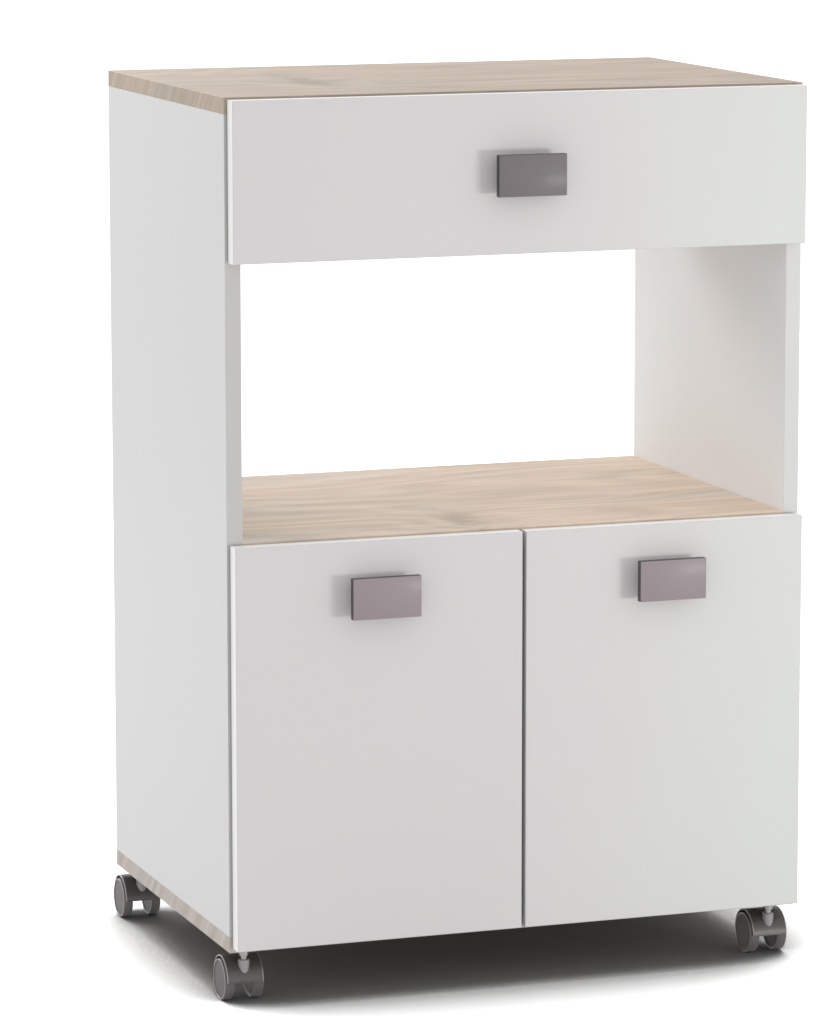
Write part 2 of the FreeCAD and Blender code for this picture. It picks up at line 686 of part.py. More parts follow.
def make_drawer():
    front = slab("drawer_front", "cart_width - 2 * side_reveal", "front_board", "drawer_front_height")
    place(front, "fronts_left", "front_face", "drawer_front_bottom")
    holes(front, "XZ", "0", handle_spots("cart_width / 2 - side_reveal", "drawer_front_height / 2"),
          "handle_screw_hole", "front_board", False)
    side_mid = "drawer_left + drawer_side_board / 2"
    levels = ("drawer_cam_low", "drawer_cam_high")
    bolts = [(x + " - fronts_left", "drawer_lift + " + level)
             for level in levels for x in (side_mid, "-(%s)" % side_mid)]
    holes(front, "XZ", "front_board", bolts, "bolt_hole", "bolt_hole_depth", True)
    break_front_edges(front)
    keep(front)

    side = slab("drawer_side_left", "drawer_side_board", "runner_length", "drawer_side_height")
    place(side, "drawer_left", "front_back_face", "drawer_bottom_edge")
    groove = rectangle(new_sketch(side, "YZ", "drawer_side_board"), "0", "drawer_bottom_lift",
                       "runner_length", "drawer_groove_height")
    pocket(side, groove, "drawer_groove_depth")
    housing = rectangle(new_sketch(side, "YZ", "drawer_side_board"),
                        "runner_length - drawer_back_setback - drawer_side_board", "drawer_floor",
                        "drawer_side_board", "drawer_side_height - drawer_floor")
    pocket(side, housing, "drawer_back_housing")
    holes(side, "XZ", "0", [("drawer_side_board / 2", level) for level in levels], "bolt_hole",
          "drawer_cam_distance", False)
    holes(side, "YZ", "0", [("drawer_cam_distance", level) for level in levels],
          "drawer_cam_radius + hole_play", "drawer_cam_thickness + hole_play", True, CAM_SIDES)
    holes(side, "XY", "0", [("runner_lip / 2", row) for row in runner_screw_rows("0")],
          "lip_screw_hole", "lip_screw_depth + hole_play", True)
    keep_pair(side, "drawer_side_left", "drawer_side_right")

    keep(block("drawer_back", "drawer_inner_left - drawer_back_housing",
               "front_back_face + runner_length - drawer_back_setback - drawer_side_board",
               "drawer_bottom_edge + drawer_floor", "drawer_inner_width + 2 * drawer_back_housing",
               "drawer_side_board", "drawer_side_height - drawer_floor"))
    keep(block("drawer_bottom", "drawer_inner_left - drawer_groove_depth + groove_play",
               "front_back_face + groove_play",
               "drawer_bottom_edge + drawer_bottom_lift + groove_play / 2",
               "drawer_inner_width + 2 * drawer_groove_depth - 2 * groove_play",
               "runner_length - groove_play", "drawer_bottom_board"))


def make_drawer_joints():
    cams = []
    bolts = []
    side_mid = "drawer_left + drawer_side_board / 2"
    cam_y = "front_back_face + drawer_cam_distance"
    for level in ("drawer_cam_low", "drawer_cam_high"):
        z = "drawer_bottom_edge + " + level
        for x, start in ((side_mid, "drawer_left"),
                         ("-(%s)" % side_mid, "-drawer_left - drawer_cam_thickness")):
            cams.append(prism("x", (start, cam_y, z), "drawer_cam_radius", "drawer_cam_thickness",
                              CAM_SIDES))
            bolts.append(cam_bolt("y", (x, "front_back_face", z), 1, "drawer_cam_distance",
                                  "drawer_cam_radius"))
    keep(group("drawer_cams", cams))
    keep(group("drawer_cam_bolts", bolts))


# ---------------------------------------------------------------- doors and handles
def make_doors():
    door = slab("door_left", "door_width", "front_board", "door_height")
    place(door, "fronts_left", "front_face", "door_bottom")
    holes(door, "XZ", "0", handle_spots("door_width / 2", "door_height - door_handle_drop"),
          "handle_screw_hole", "front_board", False)
    hinges = ("hinge_end_distance", "door_height - hinge_end_distance")
    cup_x = "cup_edge + cup_radius"
    holes(door, "XZ", "front_board", [(cup_x, z) for z in hinges], "cup_radius", "cup_depth", True,
          CUP_SIDES)
    plugs = [(cup_x + " + cup_flange_offset", "%s %s cup_dowel_pitch / 2" % (z, sign))
             for z in hinges for sign in "-+"]
    holes(door, "XZ", "front_board", plugs, "cup_dowel_radius", "cup_dowel_depth + hole_play", True)
    break_front_edges(door)
    keep_pair(door, "door_left", "door_right")


def handle(label, x, z):
    """A rectangular plate on two posts; local Y = 0 is the face that it is screwed to."""
    body = new_body(label)
    place(body, x, "front_face", z)
    plate = rectangle(new_sketch(body, "XZ", "-handle_stand_off"), "-handle_width / 2",
                      "-handle_height / 2", "handle_width", "handle_height")
    pad(body, plate, "handle_plate")
    chamfer(body, "handle_chamfer")
    posts = new_sketch(body, "XZ")
    spots = handle_spots("0", "0")
    for spot in spots:
        polygon(posts, *spot, "handle_post_radius", PIN_SIDES)
    pad(body, posts, "handle_stand_off + handle_post_socket")
    holes(body, "XZ", "0", spots, "handle_screw_hole", "handle_screw_depth + hole_play", True)
    return body


def handle_screws(x, z):
    """Two machine screws from inside through the front into the handle's posts."""
    screws = []
    for spot, height in handle_spots(x, z):
        screws.append(stepped("y", (spot, "front_face - handle_screw_depth", height), [
            ("handle_screw_radius", "handle_screw_depth + front_board", SCREW_SIDES),
            ("handle_screw_head_radius", "handle_screw_head_length", CAM_SIDES)]))
    return screws


def make_handles():
    drawer_z = "drawer_front_bottom + drawer_front_height / 2"
    keep(handle("drawer_handle", "0", drawer_z))
    keep(group("drawer_handle_screws", handle_screws("0", drawer_z)))
    door_x = "fronts_left + door_width / 2"
    door_z = "door_top - door_handle_drop"
    keep_pair(handle("door_handle_left", door_x, door_z), "door_handle_left", "door_handle_right")
    keep_pair(group("door_screws", handle_screws(door_x, door_z)), "door_left_handle_screws",
              "door_right_handle_screws")


# ---------------------------------------------------------------- cup hinges
def both_hinges(label, lower):
    """A hinge piece and its copy at the door's other end, mirrored about the door's middle."""
    return group(label, [lower, mirror(lower, "upper", (0, 0, 1), "hinge_mid")])


def all_hinges(label, lower):
    """A cabinet-side hinge piece at the lower left hinge and its three copies."""
    left = both_hinges(label + "_one_side", lower)
    return group(label, [left, mirror(left)])


def make_hinge_cups():
    """The cup pressed into the door: bowl, flange with two plugs, and the pin of the arm."""
    cup = new_body("hinge_cup")
    place(cup, "cup_centre_x", "front_back_face", "low_hinge")
    bowl = polygon(new_sketch(cup, "XZ", "cup_flange"), "0", "0", "cup_radius", CUP_SIDES)
    pad(cup, bowl, "cup_flange + cup_depth")
    flange = rectangle(new_sketch(cup, "XZ"), "cup_flange_offset - cup_flange_width / 2",
                       "-cup_flange_length / 2", "cup_flange_width", "cup_flange_length")
    pad(cup, flange, "cup_flange", reverse=True)
    hollow = polygon(new_sketch(cup, "XZ", "cup_flange"), "0", "0", "cup_radius - cup_wall", CUP_SIDES)
    pocket(cup, hollow, "cup_flange + cup_depth - cup_wall", forward=True)
    plugs = new_sketch(cup, "XZ")
    for sign in ("-", ""):
        polygon(plugs, "cup_flange_offset", sign + "cup_dowel_pitch / 2", "cup_dowel_radius",
                SCREW_SIDES)
    pad(cup, plugs, "cup_dowel_depth")
    pin = circle(new_sketch(cup, "XY"), "hinge_x - cup_centre_x", "hinge_y - front_back_face",
                 "hinge_pin_radius")
    pad(cup, pin, "hinge_pin_length", both=True)
    keep_pair(both_hinges("hinge_cups_left", cup), "hinge_cups_left", "hinge_cups_right")


def make_hinge_arms():
    """The cranked arm from its plate in the cupboard round into the cup, and the plate."""
    arm = new_body("hinge_arm")
    place(arm, "hinge_x", "hinge_y", "low_hinge")
    half = "hinge_arm_plate / 2"
    inner = "hinge_arm_leg - " + half
    outer = "hinge_arm_leg + " + half
    back = "hinge_axis_forward + hinge_arm_back"
    section = outline(new_sketch(arm, "XY"), [
        ("0", "-" + half), (inner, "-hinge_arm_fall - " + half), (outer, "-hinge_arm_fall"),
        (outer, back), (inner, back), (inner, "-hinge_arm_fall + " + half), ("0", half)])
    pad(arm, section, "hinge_arm_width", both=True)
    eye = polygon(new_sketch(arm, "XY"), "0", "0", "hinge_eye_radius", PIN_SIDES)
    pad(arm, eye, "hinge_eye_width", both=True)
    reach = "2 * hinge_eye_radius"
    for start in ("hinge_eye_width / 2", "-hinge_eye_width / 2 - hinge_arm_width"):
        trim = rectangle(new_sketch(arm, "XZ"), "-" + reach, start, reach + " + " + inner,
                         "hinge_arm_width")
        pocket(arm, trim, "2 * " + reach, both=True)
    holes(arm, "XY", "-hinge_arm_width", [("0", "0")], around("hinge_pin_radius + turning_play"),
          "2 * hinge_arm_width", True, PIN_SIDES)
    keep(all_hinges("hinge_arms", arm))

    plate = slab("hinge_plate", "hinge_plate_thickness", "hinge_plate_length", "hinge_plate_height")
    place(plate, "inner_left", "front_edge + hinge_plate_front", "low_hinge - hinge_plate_height / 2")
    screw_row = "hinge_screw_row - hinge_plate_front"
    screws = [(screw_row, "(hinge_plate_height %s hinge_screw_pitch) / 2" % sign) for sign in "-+"]
    holes(plate, "YZ", "0", screws, "screw_hole", "hinge_plate_thickness", True)
    relief_height = "(hinge_plate_height - hinge_plate_bar) / 2"
    relief_length = "(hinge_plate_length - hinge_wing_length) / 2"
    for start in ("0", "hinge_plate_length - " + relief_length):
        for level in ("0", "hinge_plate_height - " + relief_height):
            relief = rectangle(new_sketch(plate, "YZ"), start, level, relief_length, relief_height)
            pocket(plate, relief, "hinge_plate_thickness", forward=True)
    keep(all_hinges("hinge_plates", plate))


# ---------------------------------------------------------------- screws
def side_screw(y, z, under_head):
    """A screw through the thing under its head into the left side panel."""
    return stepped("x", ("inner_left - screw_depth", y, z), [
        ("screw_radius", "screw_depth + " + under_head, SCREW_SIDES),
        ("screw_head_radius", "screw_head_length", CAM_SIDES)])


def make_screws():
    """Two screws per cabinet runner and per hinge plate, and two per drawer runner's lip."""
    left = [side_screw(y, "runner_bottom + runner_screw_rise", "runner_wall")
            for y in runner_screw_rows("runner_front")]
    left += [side_screw("front_edge + hinge_screw_row", height, "hinge_plate_thickness")
             for height in hinge_screw_heights()]
    half = group("euro_screws_left_side", left)
    keep(group("euro_screws", [half, mirror(half)]))

    lip = []
    for y in runner_screw_rows("front_back_face"):
        start = ("drawer_left + runner_lip / 2", y, "runner_bottom - screw_head_length")
        lip.append(stepped("z", start, [
            ("lip_screw_head_radius", "screw_head_length", CAM_SIDES),
            ("lip_screw_radius", "runner_wall + lip_screw_depth", SCREW_SIDES)]))
    half = group("lip_screws", lip)
    keep(group("drawer_runner_screws", [half, mirror(half)]))


# ---------------------------------------------------------------- casters
def caster_corners():
    left = "-cart_width / 2 + caster_inset_side"
    front = "front_edge + caster_inset_front"
    rear = "back_face - caster_inset_rear"
    return {"front_left": (left, front), "front_right": ("-(%s)" % left, front),
            "rear_left": (left, rear), "rear_right": ("-(%s)" % left, rear)}


def make_caster_fixings():
    """Insert nuts in the bottom panel and the stems that the hoods swivel on."""
    nuts = []
    stems = []
    for x, y in caster_corners().values():
        foot = (x, y, "caster_height - nut_flange")
        nut = stepped("z", foot, [("nut_flange_radius", "nut_flange", CAM_SIDES),
                                  ("nut_radius", "nut_length", CAM_SIDES)])
        thread = prism("z", foot, "stem_thread_radius + hole_play", "nut_flange + nut_length")
        nuts.append(cut(nut, thread))
        stems.append(stepped("z", (x, y, "caster_height - stem_depth"), [
            ("stem_radius", "stem_depth - collar_bottom", PIN_SIDES),
            ("collar_radius", "collar_bottom - nut_flange", PIN_SIDES),
            ("stem_thread_radius", "nut_flange + stem_thread_length", SCREW_SIDES)]))
    keep(group("insert_nuts", nuts))
    keep(group("caster_stems", stems))


def make_hood(corner, x, y):
    """The drum-shaped hood: a centre block between two wheel wells, axle lug and stem boss."""
    hood = new_body("caster_hood_" + corner)
    place(hood, x, y, "0")
    axle = ("caster_trail", "wheel_radius")
    drum = polygon(new_sketch(hood, "YZ"), *axle, "hood_radius", HOOD_SIDES)
    pad(hood, drum, "caster_width - 2 * hood_end_inset", both=True)
    below = rectangle(new_sketch(hood, "YZ"), "caster_trail - 2 * hood_radius",
                      "wheel_radius - 2 * hood_radius", "4 * hood_radius",
                      "2 * hood_radius + hood_skirt")
    pocket(hood, below, "2 * caster_width", both=True)
    cheek = "caster_width / 2 - wheel_width - wheel_side_gap"
    for offset, outward in ((cheek, True), ("-(%s)" % cheek, False)):
        well = polygon(new_sketch(hood, "YZ", offset), *axle, "hood_radius - hood_wall", HOOD_SIDES)
        pocket(hood, well, "caster_width", forward=outward)
    boss_top = "caster_height - boss_top_drop"
    shoulder = boss_top + " - boss_straight"
    tip = shoulder + " - boss_taper"
    section = outline(new_sketch(hood, "XZ"), [
        ("0", tip), ("boss_tip_radius", tip), ("boss_radius", shoulder), ("boss_radius", boss_top),
        ("0", boss_top)])
    turn(hood, section)
    lug = polygon(new_sketch(hood, "YZ"), *axle, "axle_lug_radius", PIN_SIDES)
    pad(hood, lug, "2 * (%s)" % cheek, both=True)
    bore = polygon(new_sketch(hood, "YZ"), *axle, "axle_radius + turning_play", PIN_SIDES)
    pocket(hood, bore, "caster_width", both=True)
    socket = polygon(new_sketch(hood, "XY", boss_top), "0", "0", around("stem_radius + turning_play"),
                     PIN_SIDES)
    pocket(hood, socket, "stem_depth - boss_top_drop + socket_end_gap")
    keep(hood)


def make_wheel(corner, side, x, y):
    """One wheel with a blind axle bore from inside; side -1 is nearer -X."""
    name = "wheel_%s_%s" % (corner, "left" if side < 0 else "right")
    wheel = new_body(name)
    place(wheel, x, y + " + caster_trail", "wheel_radius")
    inner = "%s(caster_width / 2 - wheel_width)" % ("-" if side < 0 else "")
    tread = polygon(new_sketch(wheel, "YZ", inner), "0", "0", "wheel_radius", WHEEL_SIDES)
    pad(wheel, tread, "wheel_width", reverse=side < 0)
    bore = circle(new_sketch(wheel, "YZ", inner), "0", "0", "axle_radius + turning_play")
    pocket(wheel, bore, "wheel_width - axle_end + hole_play", forward=side > 0)
    keep(wheel)


def make_casters():
    make_caster_fixings()
    for corner, (x, y) in caster_corners().items():
        make_hood(corner, x, y)
        for side in (-1, 1):
            make_wheel(corner, side, x, y)
        start = ("%s - caster_width / 2 + axle_end" % x, y + " + caster_trail", "wheel_radius")
        axle = prism("x", start, "axle_radius", "caster_width - 2 * axle_end", PIN_SIDES)
        axle.Label = "caster_axle_" + corner
        keep(axle)


# ---------------------------------------------------------------- build, check, write
def check_and_write():
    DOC.recompute()
    for item in DOC.Objects:
        if "Invalid" in item.State or "Error" in item.State:
            raise RuntimeError("failed object: %s %s %s" % (item.Name, item.Label, item.State))
        if item.TypeId == "PartDesign::Pocket":
            before = item.BaseFeature.Shape.Volume
            if item.Shape.Volume > before - 1e-6:
                raise RuntimeError("pocket cuts nothing: " + item.Label)
    os.makedirs("parts", exist_ok=True)
    for item in NODES:
        shape = item.Shape
        if shape.isNull() or not shape.isValid() or not shape.Solids:
            raise RuntimeError("bad shape: " + item.Label)
        shape.exportStep(os.path.join("parts", item.Label + ".step"))
        print("%-28s solids %3d  volume %.0f" % (item.Label, len(shape.Solids), shape.Volume))
    print("nodes:", len(NODES))


fill_sheet()
make_top_and_bottom()
make_sides()
make_shelf_and_rail()
make_back_and_loose_shelf()
make_cam_joints()
make_runners()
make_rollers()
make_drawer()
make_drawer_joints()
make_doors()
make_handles()
make_hinge_cups()
make_hinge_arms()
make_screws()
make_casters()
check_and_write()
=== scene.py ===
# %% [markdown]
# # A microwave cart, dressed for a studio picture
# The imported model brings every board, hinge and wheel at its true size and place.  This script gives
# each of them a finish, adds the small parts that a maker would notice, and sets up the studio.
# Everything is in metres, with the floor at Z = 0 and the drawer and doors facing -Y.

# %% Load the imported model
import bmesh
import bpy
import json
import math
from mathutils import Matrix, Vector


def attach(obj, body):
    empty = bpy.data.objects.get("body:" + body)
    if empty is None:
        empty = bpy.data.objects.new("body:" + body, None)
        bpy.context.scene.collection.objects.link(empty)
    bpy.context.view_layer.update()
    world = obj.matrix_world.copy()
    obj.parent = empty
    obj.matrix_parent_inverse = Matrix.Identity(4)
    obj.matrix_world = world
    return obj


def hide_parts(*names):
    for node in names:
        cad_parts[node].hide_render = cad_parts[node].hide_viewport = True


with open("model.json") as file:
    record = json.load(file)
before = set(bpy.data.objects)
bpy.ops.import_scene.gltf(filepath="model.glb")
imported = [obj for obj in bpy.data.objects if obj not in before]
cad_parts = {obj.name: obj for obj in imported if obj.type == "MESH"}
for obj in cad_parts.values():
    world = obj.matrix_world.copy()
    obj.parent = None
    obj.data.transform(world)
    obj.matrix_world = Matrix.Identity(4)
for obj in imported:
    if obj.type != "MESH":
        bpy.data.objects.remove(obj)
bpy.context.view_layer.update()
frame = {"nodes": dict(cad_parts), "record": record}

# %% [markdown]
# ## The cart's numbers
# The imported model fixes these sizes, in millimetres.  A few of them drive the rest: a screw and the
# board that it holds read the same value, so they can't drift apart.  The cart is the same on both
# sides, so an X here is a distance from its middle and the sign comes from the side.

# %% Driving sizes and what follows from them
MM = 0.001
BOARD = 16.0
INNER_X = 284.0                             # inner face of a side panel
CARCASS_FRONT, CARCASS_BACK = -189.25, 210.75
BOTTOM_FACE, TOP_UNDERSIDE = 71.0, 874.0    # between them stand the side panels
SHELF_UNDERSIDE = 445.0
FRONT_BACK = CARCASS_FRONT - 2.0            # rear face of the doors and the drawer front
FRONT_FACE = FRONT_BACK - BOARD
RUNNER_LENGTH = 350.0
RUNNER_FRONT = CARCASS_FRONT + 4.0
DRAWER_BOTTOM = 752.0                       # lower edge of the drawer's sides
ROLLER_HEIGHT = 762.15
HINGE_HEIGHTS = (135.0, 383.5)
PULLS = {"drawer": (0.0, 810.0), "left_door": (-149.5, 405.0), "right_door": (149.5, 405.0)}
PULL_SCREWS = (-16.0, 16.0)                 # from the middle of a handle
print("carcass from", CARCASS_FRONT, "to", CARCASS_BACK, "front face at", FRONT_FACE)

# %% [markdown]
# ## Shader maths that reads like maths
# A surface pattern is a chain of nodes.  Wiring them by hand hides the idea, so a small class wraps a
# node's output and overloads + - * and the comparisons: an expression on it adds the Math nodes.
# Every other node comes from one method that takes the node's type, its settings and its inputs.

# %% The field class and the finish class
class Field:
    """A value, colour or vector that varies over a surface: the output of one node."""

    def __init__(self, finish, socket):
        self.finish = finish
        self.socket = socket

    def maths(self, operation, *values):
        return self.finish.node("Math", {"operation": operation}, dict(enumerate(values)))

    def __add__(self, other):
        return self.maths("ADD", self, other)

    def __sub__(self, other):
        return self.maths("SUBTRACT", self, other)

    def __mul__(self, other):
        return self.maths("MULTIPLY", self, other)

    def __lt__(self, other):
        return self.maths("LESS_THAN", self, other)

    def __gt__(self, other):
        return self.maths("GREATER_THAN", self, other)

    __radd__ = __add__

    def size(self):
        return self.maths("ABSOLUTE", self)

    def sine(self):
        return self.maths("SINE", self)

    def swing(self, amount):
        """A pattern that runs from 0 to 1, centred on zero and scaled."""
        return (self - 0.5) * amount

    def below(self, level):
        """How far the value lies under a level, held between 0 and 1."""
        return self.finish.node("Math", {"operation": "SUBTRACT", "use_clamp": True}, {0: level, 1: self})


class Finish:
    """One material, built from a Principled surface and whatever varies over it."""

    def __init__(self, name, color, roughness, metallic=0.0, coat=0.0, specular=0.5):
        self.material = bpy.data.materials.new(name)
        self.material.use_nodes = True
        self.tree = self.material.node_tree
        self.tree.nodes.clear()
        self.surface = self.tree.nodes.new("ShaderNodeBsdfPrincipled")
        output = self.tree.nodes.new("ShaderNodeOutputMaterial")
        self.tree.links.new(self.surface.outputs[0], output.inputs[0])
        self.material.diffuse_color = (*color, 1)
        self.set("Base Color", (*color, 1))
        self.set("Roughness", roughness)
        self.set("Metallic", metallic)
        self.set("Coat Weight", coat)
        self.set("Coat Roughness", 0.12)
        self.set("Specular IOR Level", specular)

    def feed(self, socket, value):
        if isinstance(value, Field):
            self.tree.links.new(value.socket, socket)
        else:
            socket.default_value = value

    def set(self, name, value):
        self.feed(self.surface.inputs[name], value)

    def node(self, kind, settings=None, values=None, output=0):
        made = self.tree.nodes.new("ShaderNode" + kind)
        for key, value in (settings or {}).items():
            if key == "stops":
                ramp = made.color_ramp.elements
                while len(ramp) < len(value):
                    ramp.new(0.5)
                for element, (place, color) in zip(ramp, value):
                    element.position = place
                    element.color = color if len(color) == 4 else (*color, 1)
            else:
                setattr(made, key, value)
        for key, value in (values or {}).items():
            self.feed(made.inputs[key], value)
        return Field(self, made.outputs[output])

    def place(self):
        """Object coordinates: metres in the cart's own frame."""
        return self.node("TexCoord", output="Object")

    def scaled(self, vector, scale, shift=(0, 0, 0)):
        return self.node("Mapping", None, {"Vector": vector, "Scale": scale, "Location": shift})

    def axis(self, vector, name):
        return self.node("SeparateXYZ", None, {"Vector": vector}, output=name)

    def facing(self, name):
        """How far the surface's normal points along one axis of the cart, from -1 to 1."""
        return self.axis(self.node("NewGeometry", output="Normal"), name)

    def noise(self, vector, scale, detail=3.0, roughness=0.5, warp=0.0):
        return self.node("TexNoise", {"noise_dimensions": "3D"},
                         {"Vector": vector, "Scale": scale, "Detail": detail, "Roughness": roughness,
                          "Distortion": warp}, output="Fac")

    def ramp(self, value, *stops):
        return self.node("ValToRGB", {"stops": stops}, {"Fac": value}, output="Color")

    def mix(self, factor, first, second, blend="MIX"):
        return self.node("Mix", {"data_type": "RGBA", "blend_type": blend},
                         {"Factor": factor, 6: first, 7: second}, output=2)

    def tint(self, tone, color):
        return self.mix(1.0, tone, color, "MULTIPLY")

    def bump(self, height, strength, distance):
        return self.node("Bump", None, {"Height": height, "Strength": strength, "Distance": distance})


print("shader helpers ready")

# %% [markdown]
# ## White melamine board
# The sides, doors and drawer are particle board under a white foil.  The foil isn't flat: it is
# pressed with a fine pearl texture that softens its sheen, and its edges carry a plastic band that is
# a touch whiter and glossier.  The band's colour also holds painted light: on the fronts it is written
# far whiter than the face, a painted highlight, and on the side panels darker, as painted shade.  The
# band needs no geometry of its own: it is where the surface's normal turns away from the board's face,
# so one mask made from the normal places it.  Large white faces are never one even tone either, so a
# noise varies the tone, and a slow drift from a rosy to a greener white runs across the cart; its rise
# in brightness to the right is painted light, and the right side panel's face, seen inside the niche,
# is written much lighter than the left's against its shade.  The two bands that face each other across
# the narrow door gap get little light, so they are written darker.

# %% White board finishes
# the greener white on the right is written lighter than the rosy one on the left: partly painted light
ROSY_SHADED_WHITE = (0.658, 0.633, 0.639)
GREENISH_LIT_WHITE = (0.684, 0.696, 0.672)
BAND_COSINE = 0.55          # a surface is a band where its normal has less than this along the board's axis
GAP_HALF = 0.02             # metres from the middle of the cart in which a band faces the door gap


def white_board(name, face_axis, faces, band_tones_with_painted_light, gap_band=None):
    """A foil-covered board; faces and the band tones each give the colour at the cart's left and right, with
    painted light in both.
    """
    finish = Finish(name, faces[0], 0.42, specular=0.4)
    place = finish.place()
    on_band = finish.facing(face_axis).size() < BAND_COSINE
    x = finish.axis(place, "X")
    # the X term makes the white lighter towards the cart's right, painted light; the noise is uneven tone
    drift_and_painted_light = x * 3.0 + 0.12 + finish.noise(place, 3.2, 2.0).swing(0.9)
    face = finish.mix(drift_and_painted_light, (*faces[0], 1), (*faces[1], 1))
    # band colours: on the fronts a painted highlight over a touch of the band's own white, on the side panels
    # painted shade
    band_with_painted_light = finish.mix(x > 0.0, (*band_tones_with_painted_light[0], 1), (*band_tones_with_painted_light[1], 1))
    if gap_band:
        in_gap = (x.size() < GAP_HALF) * (finish.facing("X").size() > 0.5)
        band_with_painted_light = finish.mix(in_gap, band_with_painted_light, (*gap_band, 1))
    finish.set("Base Color", finish.mix(on_band, face, band_with_painted_light))
    pearl = finish.noise(place, 900.0, 2.0, 0.6)
    finish.set("Roughness", 0.42 + pearl * 0.10 - on_band * 0.12)
    finish.set("Normal", finish.bump(pearl, 0.08, 0.0002))
    return finish.material


# side panels: the right face, inside the niche, is written much lighter against its shade, and the bands
# darker: painted light and painted shade
WHITE_SIDE = white_board("white_board_side", "X", ((0.713, 0.714, 0.713), (0.850, 0.847, 0.850)),
                         ((0.535, 0.530, 0.523), (0.600, 0.598, 0.590)))
# fronts: the bands are written far whiter than the faces, mostly a painted highlight
WHITE_FRONT = white_board("white_board_front", "Y", (ROSY_SHADED_WHITE, GREENISH_LIT_WHITE), ((0.96,) * 3, (0.96,) * 3),
                          gap_band=(0.62, 0.61, 0.61))
WHITE_FLAT = white_board("white_board_flat", "Z", ((0.72, 0.72, 0.715), (0.73, 0.73, 0.72)),
                         ((0.74, 0.74, 0.735), (0.74, 0.74, 0.735)))
print("white boards:", WHITE_SIDE.name, WHITE_FRONT.name, WHITE_FLAT.name)

# %% [markdown]
# ## Pale oak
# The top, the niche shelf and the bottom carry a printed pale oak.  Its look comes from layers, from wide
# to fine: areas of plank tone, the arched figure where the saw met the growth rings, streaks, light
# flecks, fibres, and short dark pores.  The arches are contour lines: a smooth noise, stretched along the
# board, goes through a sine, which draws a line wherever the noise passes the same height again.  Each
# board also has one spike knot, the trace of a branch that was cut along its length: round it the wood
# turns greyer and the rings bow outwards.  All layers read a position that is stretched along X, and
# each board reads it at its own place.

# %% Oak finish
def oak(name, shift, warm, grey, knot, knot_size):
    """Printed oak; the knot's place and half sizes are in metres, the shift picks a part of the print."""
    finish = Finish(name, warm, 0.5, specular=0.3)
    board = finish.place()
    place = finish.scaled(board, (1, 1, 1), shift)
    across = finish.axis(place, "Y") + finish.axis(place, "Z") * 0.9
    flat = finish.node("CombineXYZ", None, {"X": finish.axis(place, "X"), "Y": across, "Z": 0.0})

    def grain(along, across_count, detail, roughness=0.5, warp=0.0):
        """Noise with about so many features to a metre along the board and across it."""
        stretched = finish.scaled(flat, (along, across_count, 1))
        return finish.noise(stretched, 1.0, detail, roughness, warp)

    # the knot: how far away it is in its own half sizes, its ragged core and the grey halo round it
    stretch = [1 / size for size in knot_size]
    from_knot = finish.scaled(board, (*stretch, 0), (-knot[0] * stretch[0], -knot[1] * stretch[1], 0))
    reach = finish.node("VectorMath", {"operation": "LENGTH"}, {0: from_knot}, output="Value")
    spike = (reach + finish.noise(flat, 60.0, 3.0).swing(2.4)).below(1.2)
    halo = (reach * 0.3).below(1.0)

    # the layers, from wide to fine
    wide = grain(1.6, 6.5, 2.0)
    rings = grain(1.8, 8.0, 1.0, 0.3, 0.25)
    arch = ((rings * 70.0 + across * 120.0 + halo * 7.0).sine() + 1.0) * 0.5
    streak = grain(5.0, 42.0, 5.0, 0.62, 0.3)
    fleck = finish.ramp(grain(8.0, 120.0, 3.0, 0.6), (0.56, (0.0,) * 3), (0.70, (1.0,) * 3))
    fibre = grain(30.0, 950.0, 3.0, 0.6)
    pore = grain(110.0, 2600.0, 1.0) < 0.34
    saw = grain(700.0, 10.0, 2.0)

    # each layer darkens or lightens the tone that the layers before it have left
    light = tuple(c * 1.04 for c in warm)
    tone = finish.ramp(wide - halo * 0.10, (0.36, grey), (0.52, warm), (0.66, light))
    tone = finish.tint(tone, finish.mix(streak.swing(2.2) + arch.swing(0.38) + 0.5,
                                        (0.845, 0.825, 0.80, 1), (1.13, 1.14, 1.15, 1)))
    tone = finish.mix(fleck, tone, finish.tint(tone, (1.07, 1.06, 1.05, 1)))
    tone = finish.mix(spike * 0.8, tone, finish.tint(tone, (0.72, 0.72, 0.70, 1)))
    tone = finish.tint(tone, finish.mix((fibre - 0.25) * 2.0, (0.93, 0.925, 0.915, 1),
                                        (1.05, 1.05, 1.05, 1)))
    tone = finish.mix(pore * 0.18, tone, (0.36, 0.28, 0.21, 1))
    finish.set("Base Color", tone)
    finish.set("Roughness", 0.48 + fibre * 0.14)
    finish.set("Normal", finish.bump(fibre * 0.6 + saw * 0.25 - pore * 0.5, 0.2, 0.0003))
    return finish.material


OAK_TOP = oak("pale_oak_top", (0.31, 0.07, 0.0), (0.488, 0.399, 0.324), (0.471, 0.406, 0.340),
              (-0.158, 0.0), (0.020, 0.10))
# the shelf is the same oak as the top, written much lighter against the niche's shade: painted light
OAK_SHELF_PAINTED_LIGHT = oak("pale_oak_shelf_painted_light", (1.37, 0.42, 0.11), (0.735, 0.600, 0.485), (0.655, 0.590, 0.520),
                (-0.040, -0.125), (0.022, 0.060))
OAK_BOTTOM = oak("pale_oak_bottom", (2.11, 0.83, 0.37), (0.522, 0.472, 0.430), (0.502, 0.467, 0.434),
                 (0.12, 0.02), (0.020, 0.08))
print("oak boards:", OAK_TOP.name, OAK_SHELF_PAINTED_LIGHT.name, OAK_BOTTOM.name)

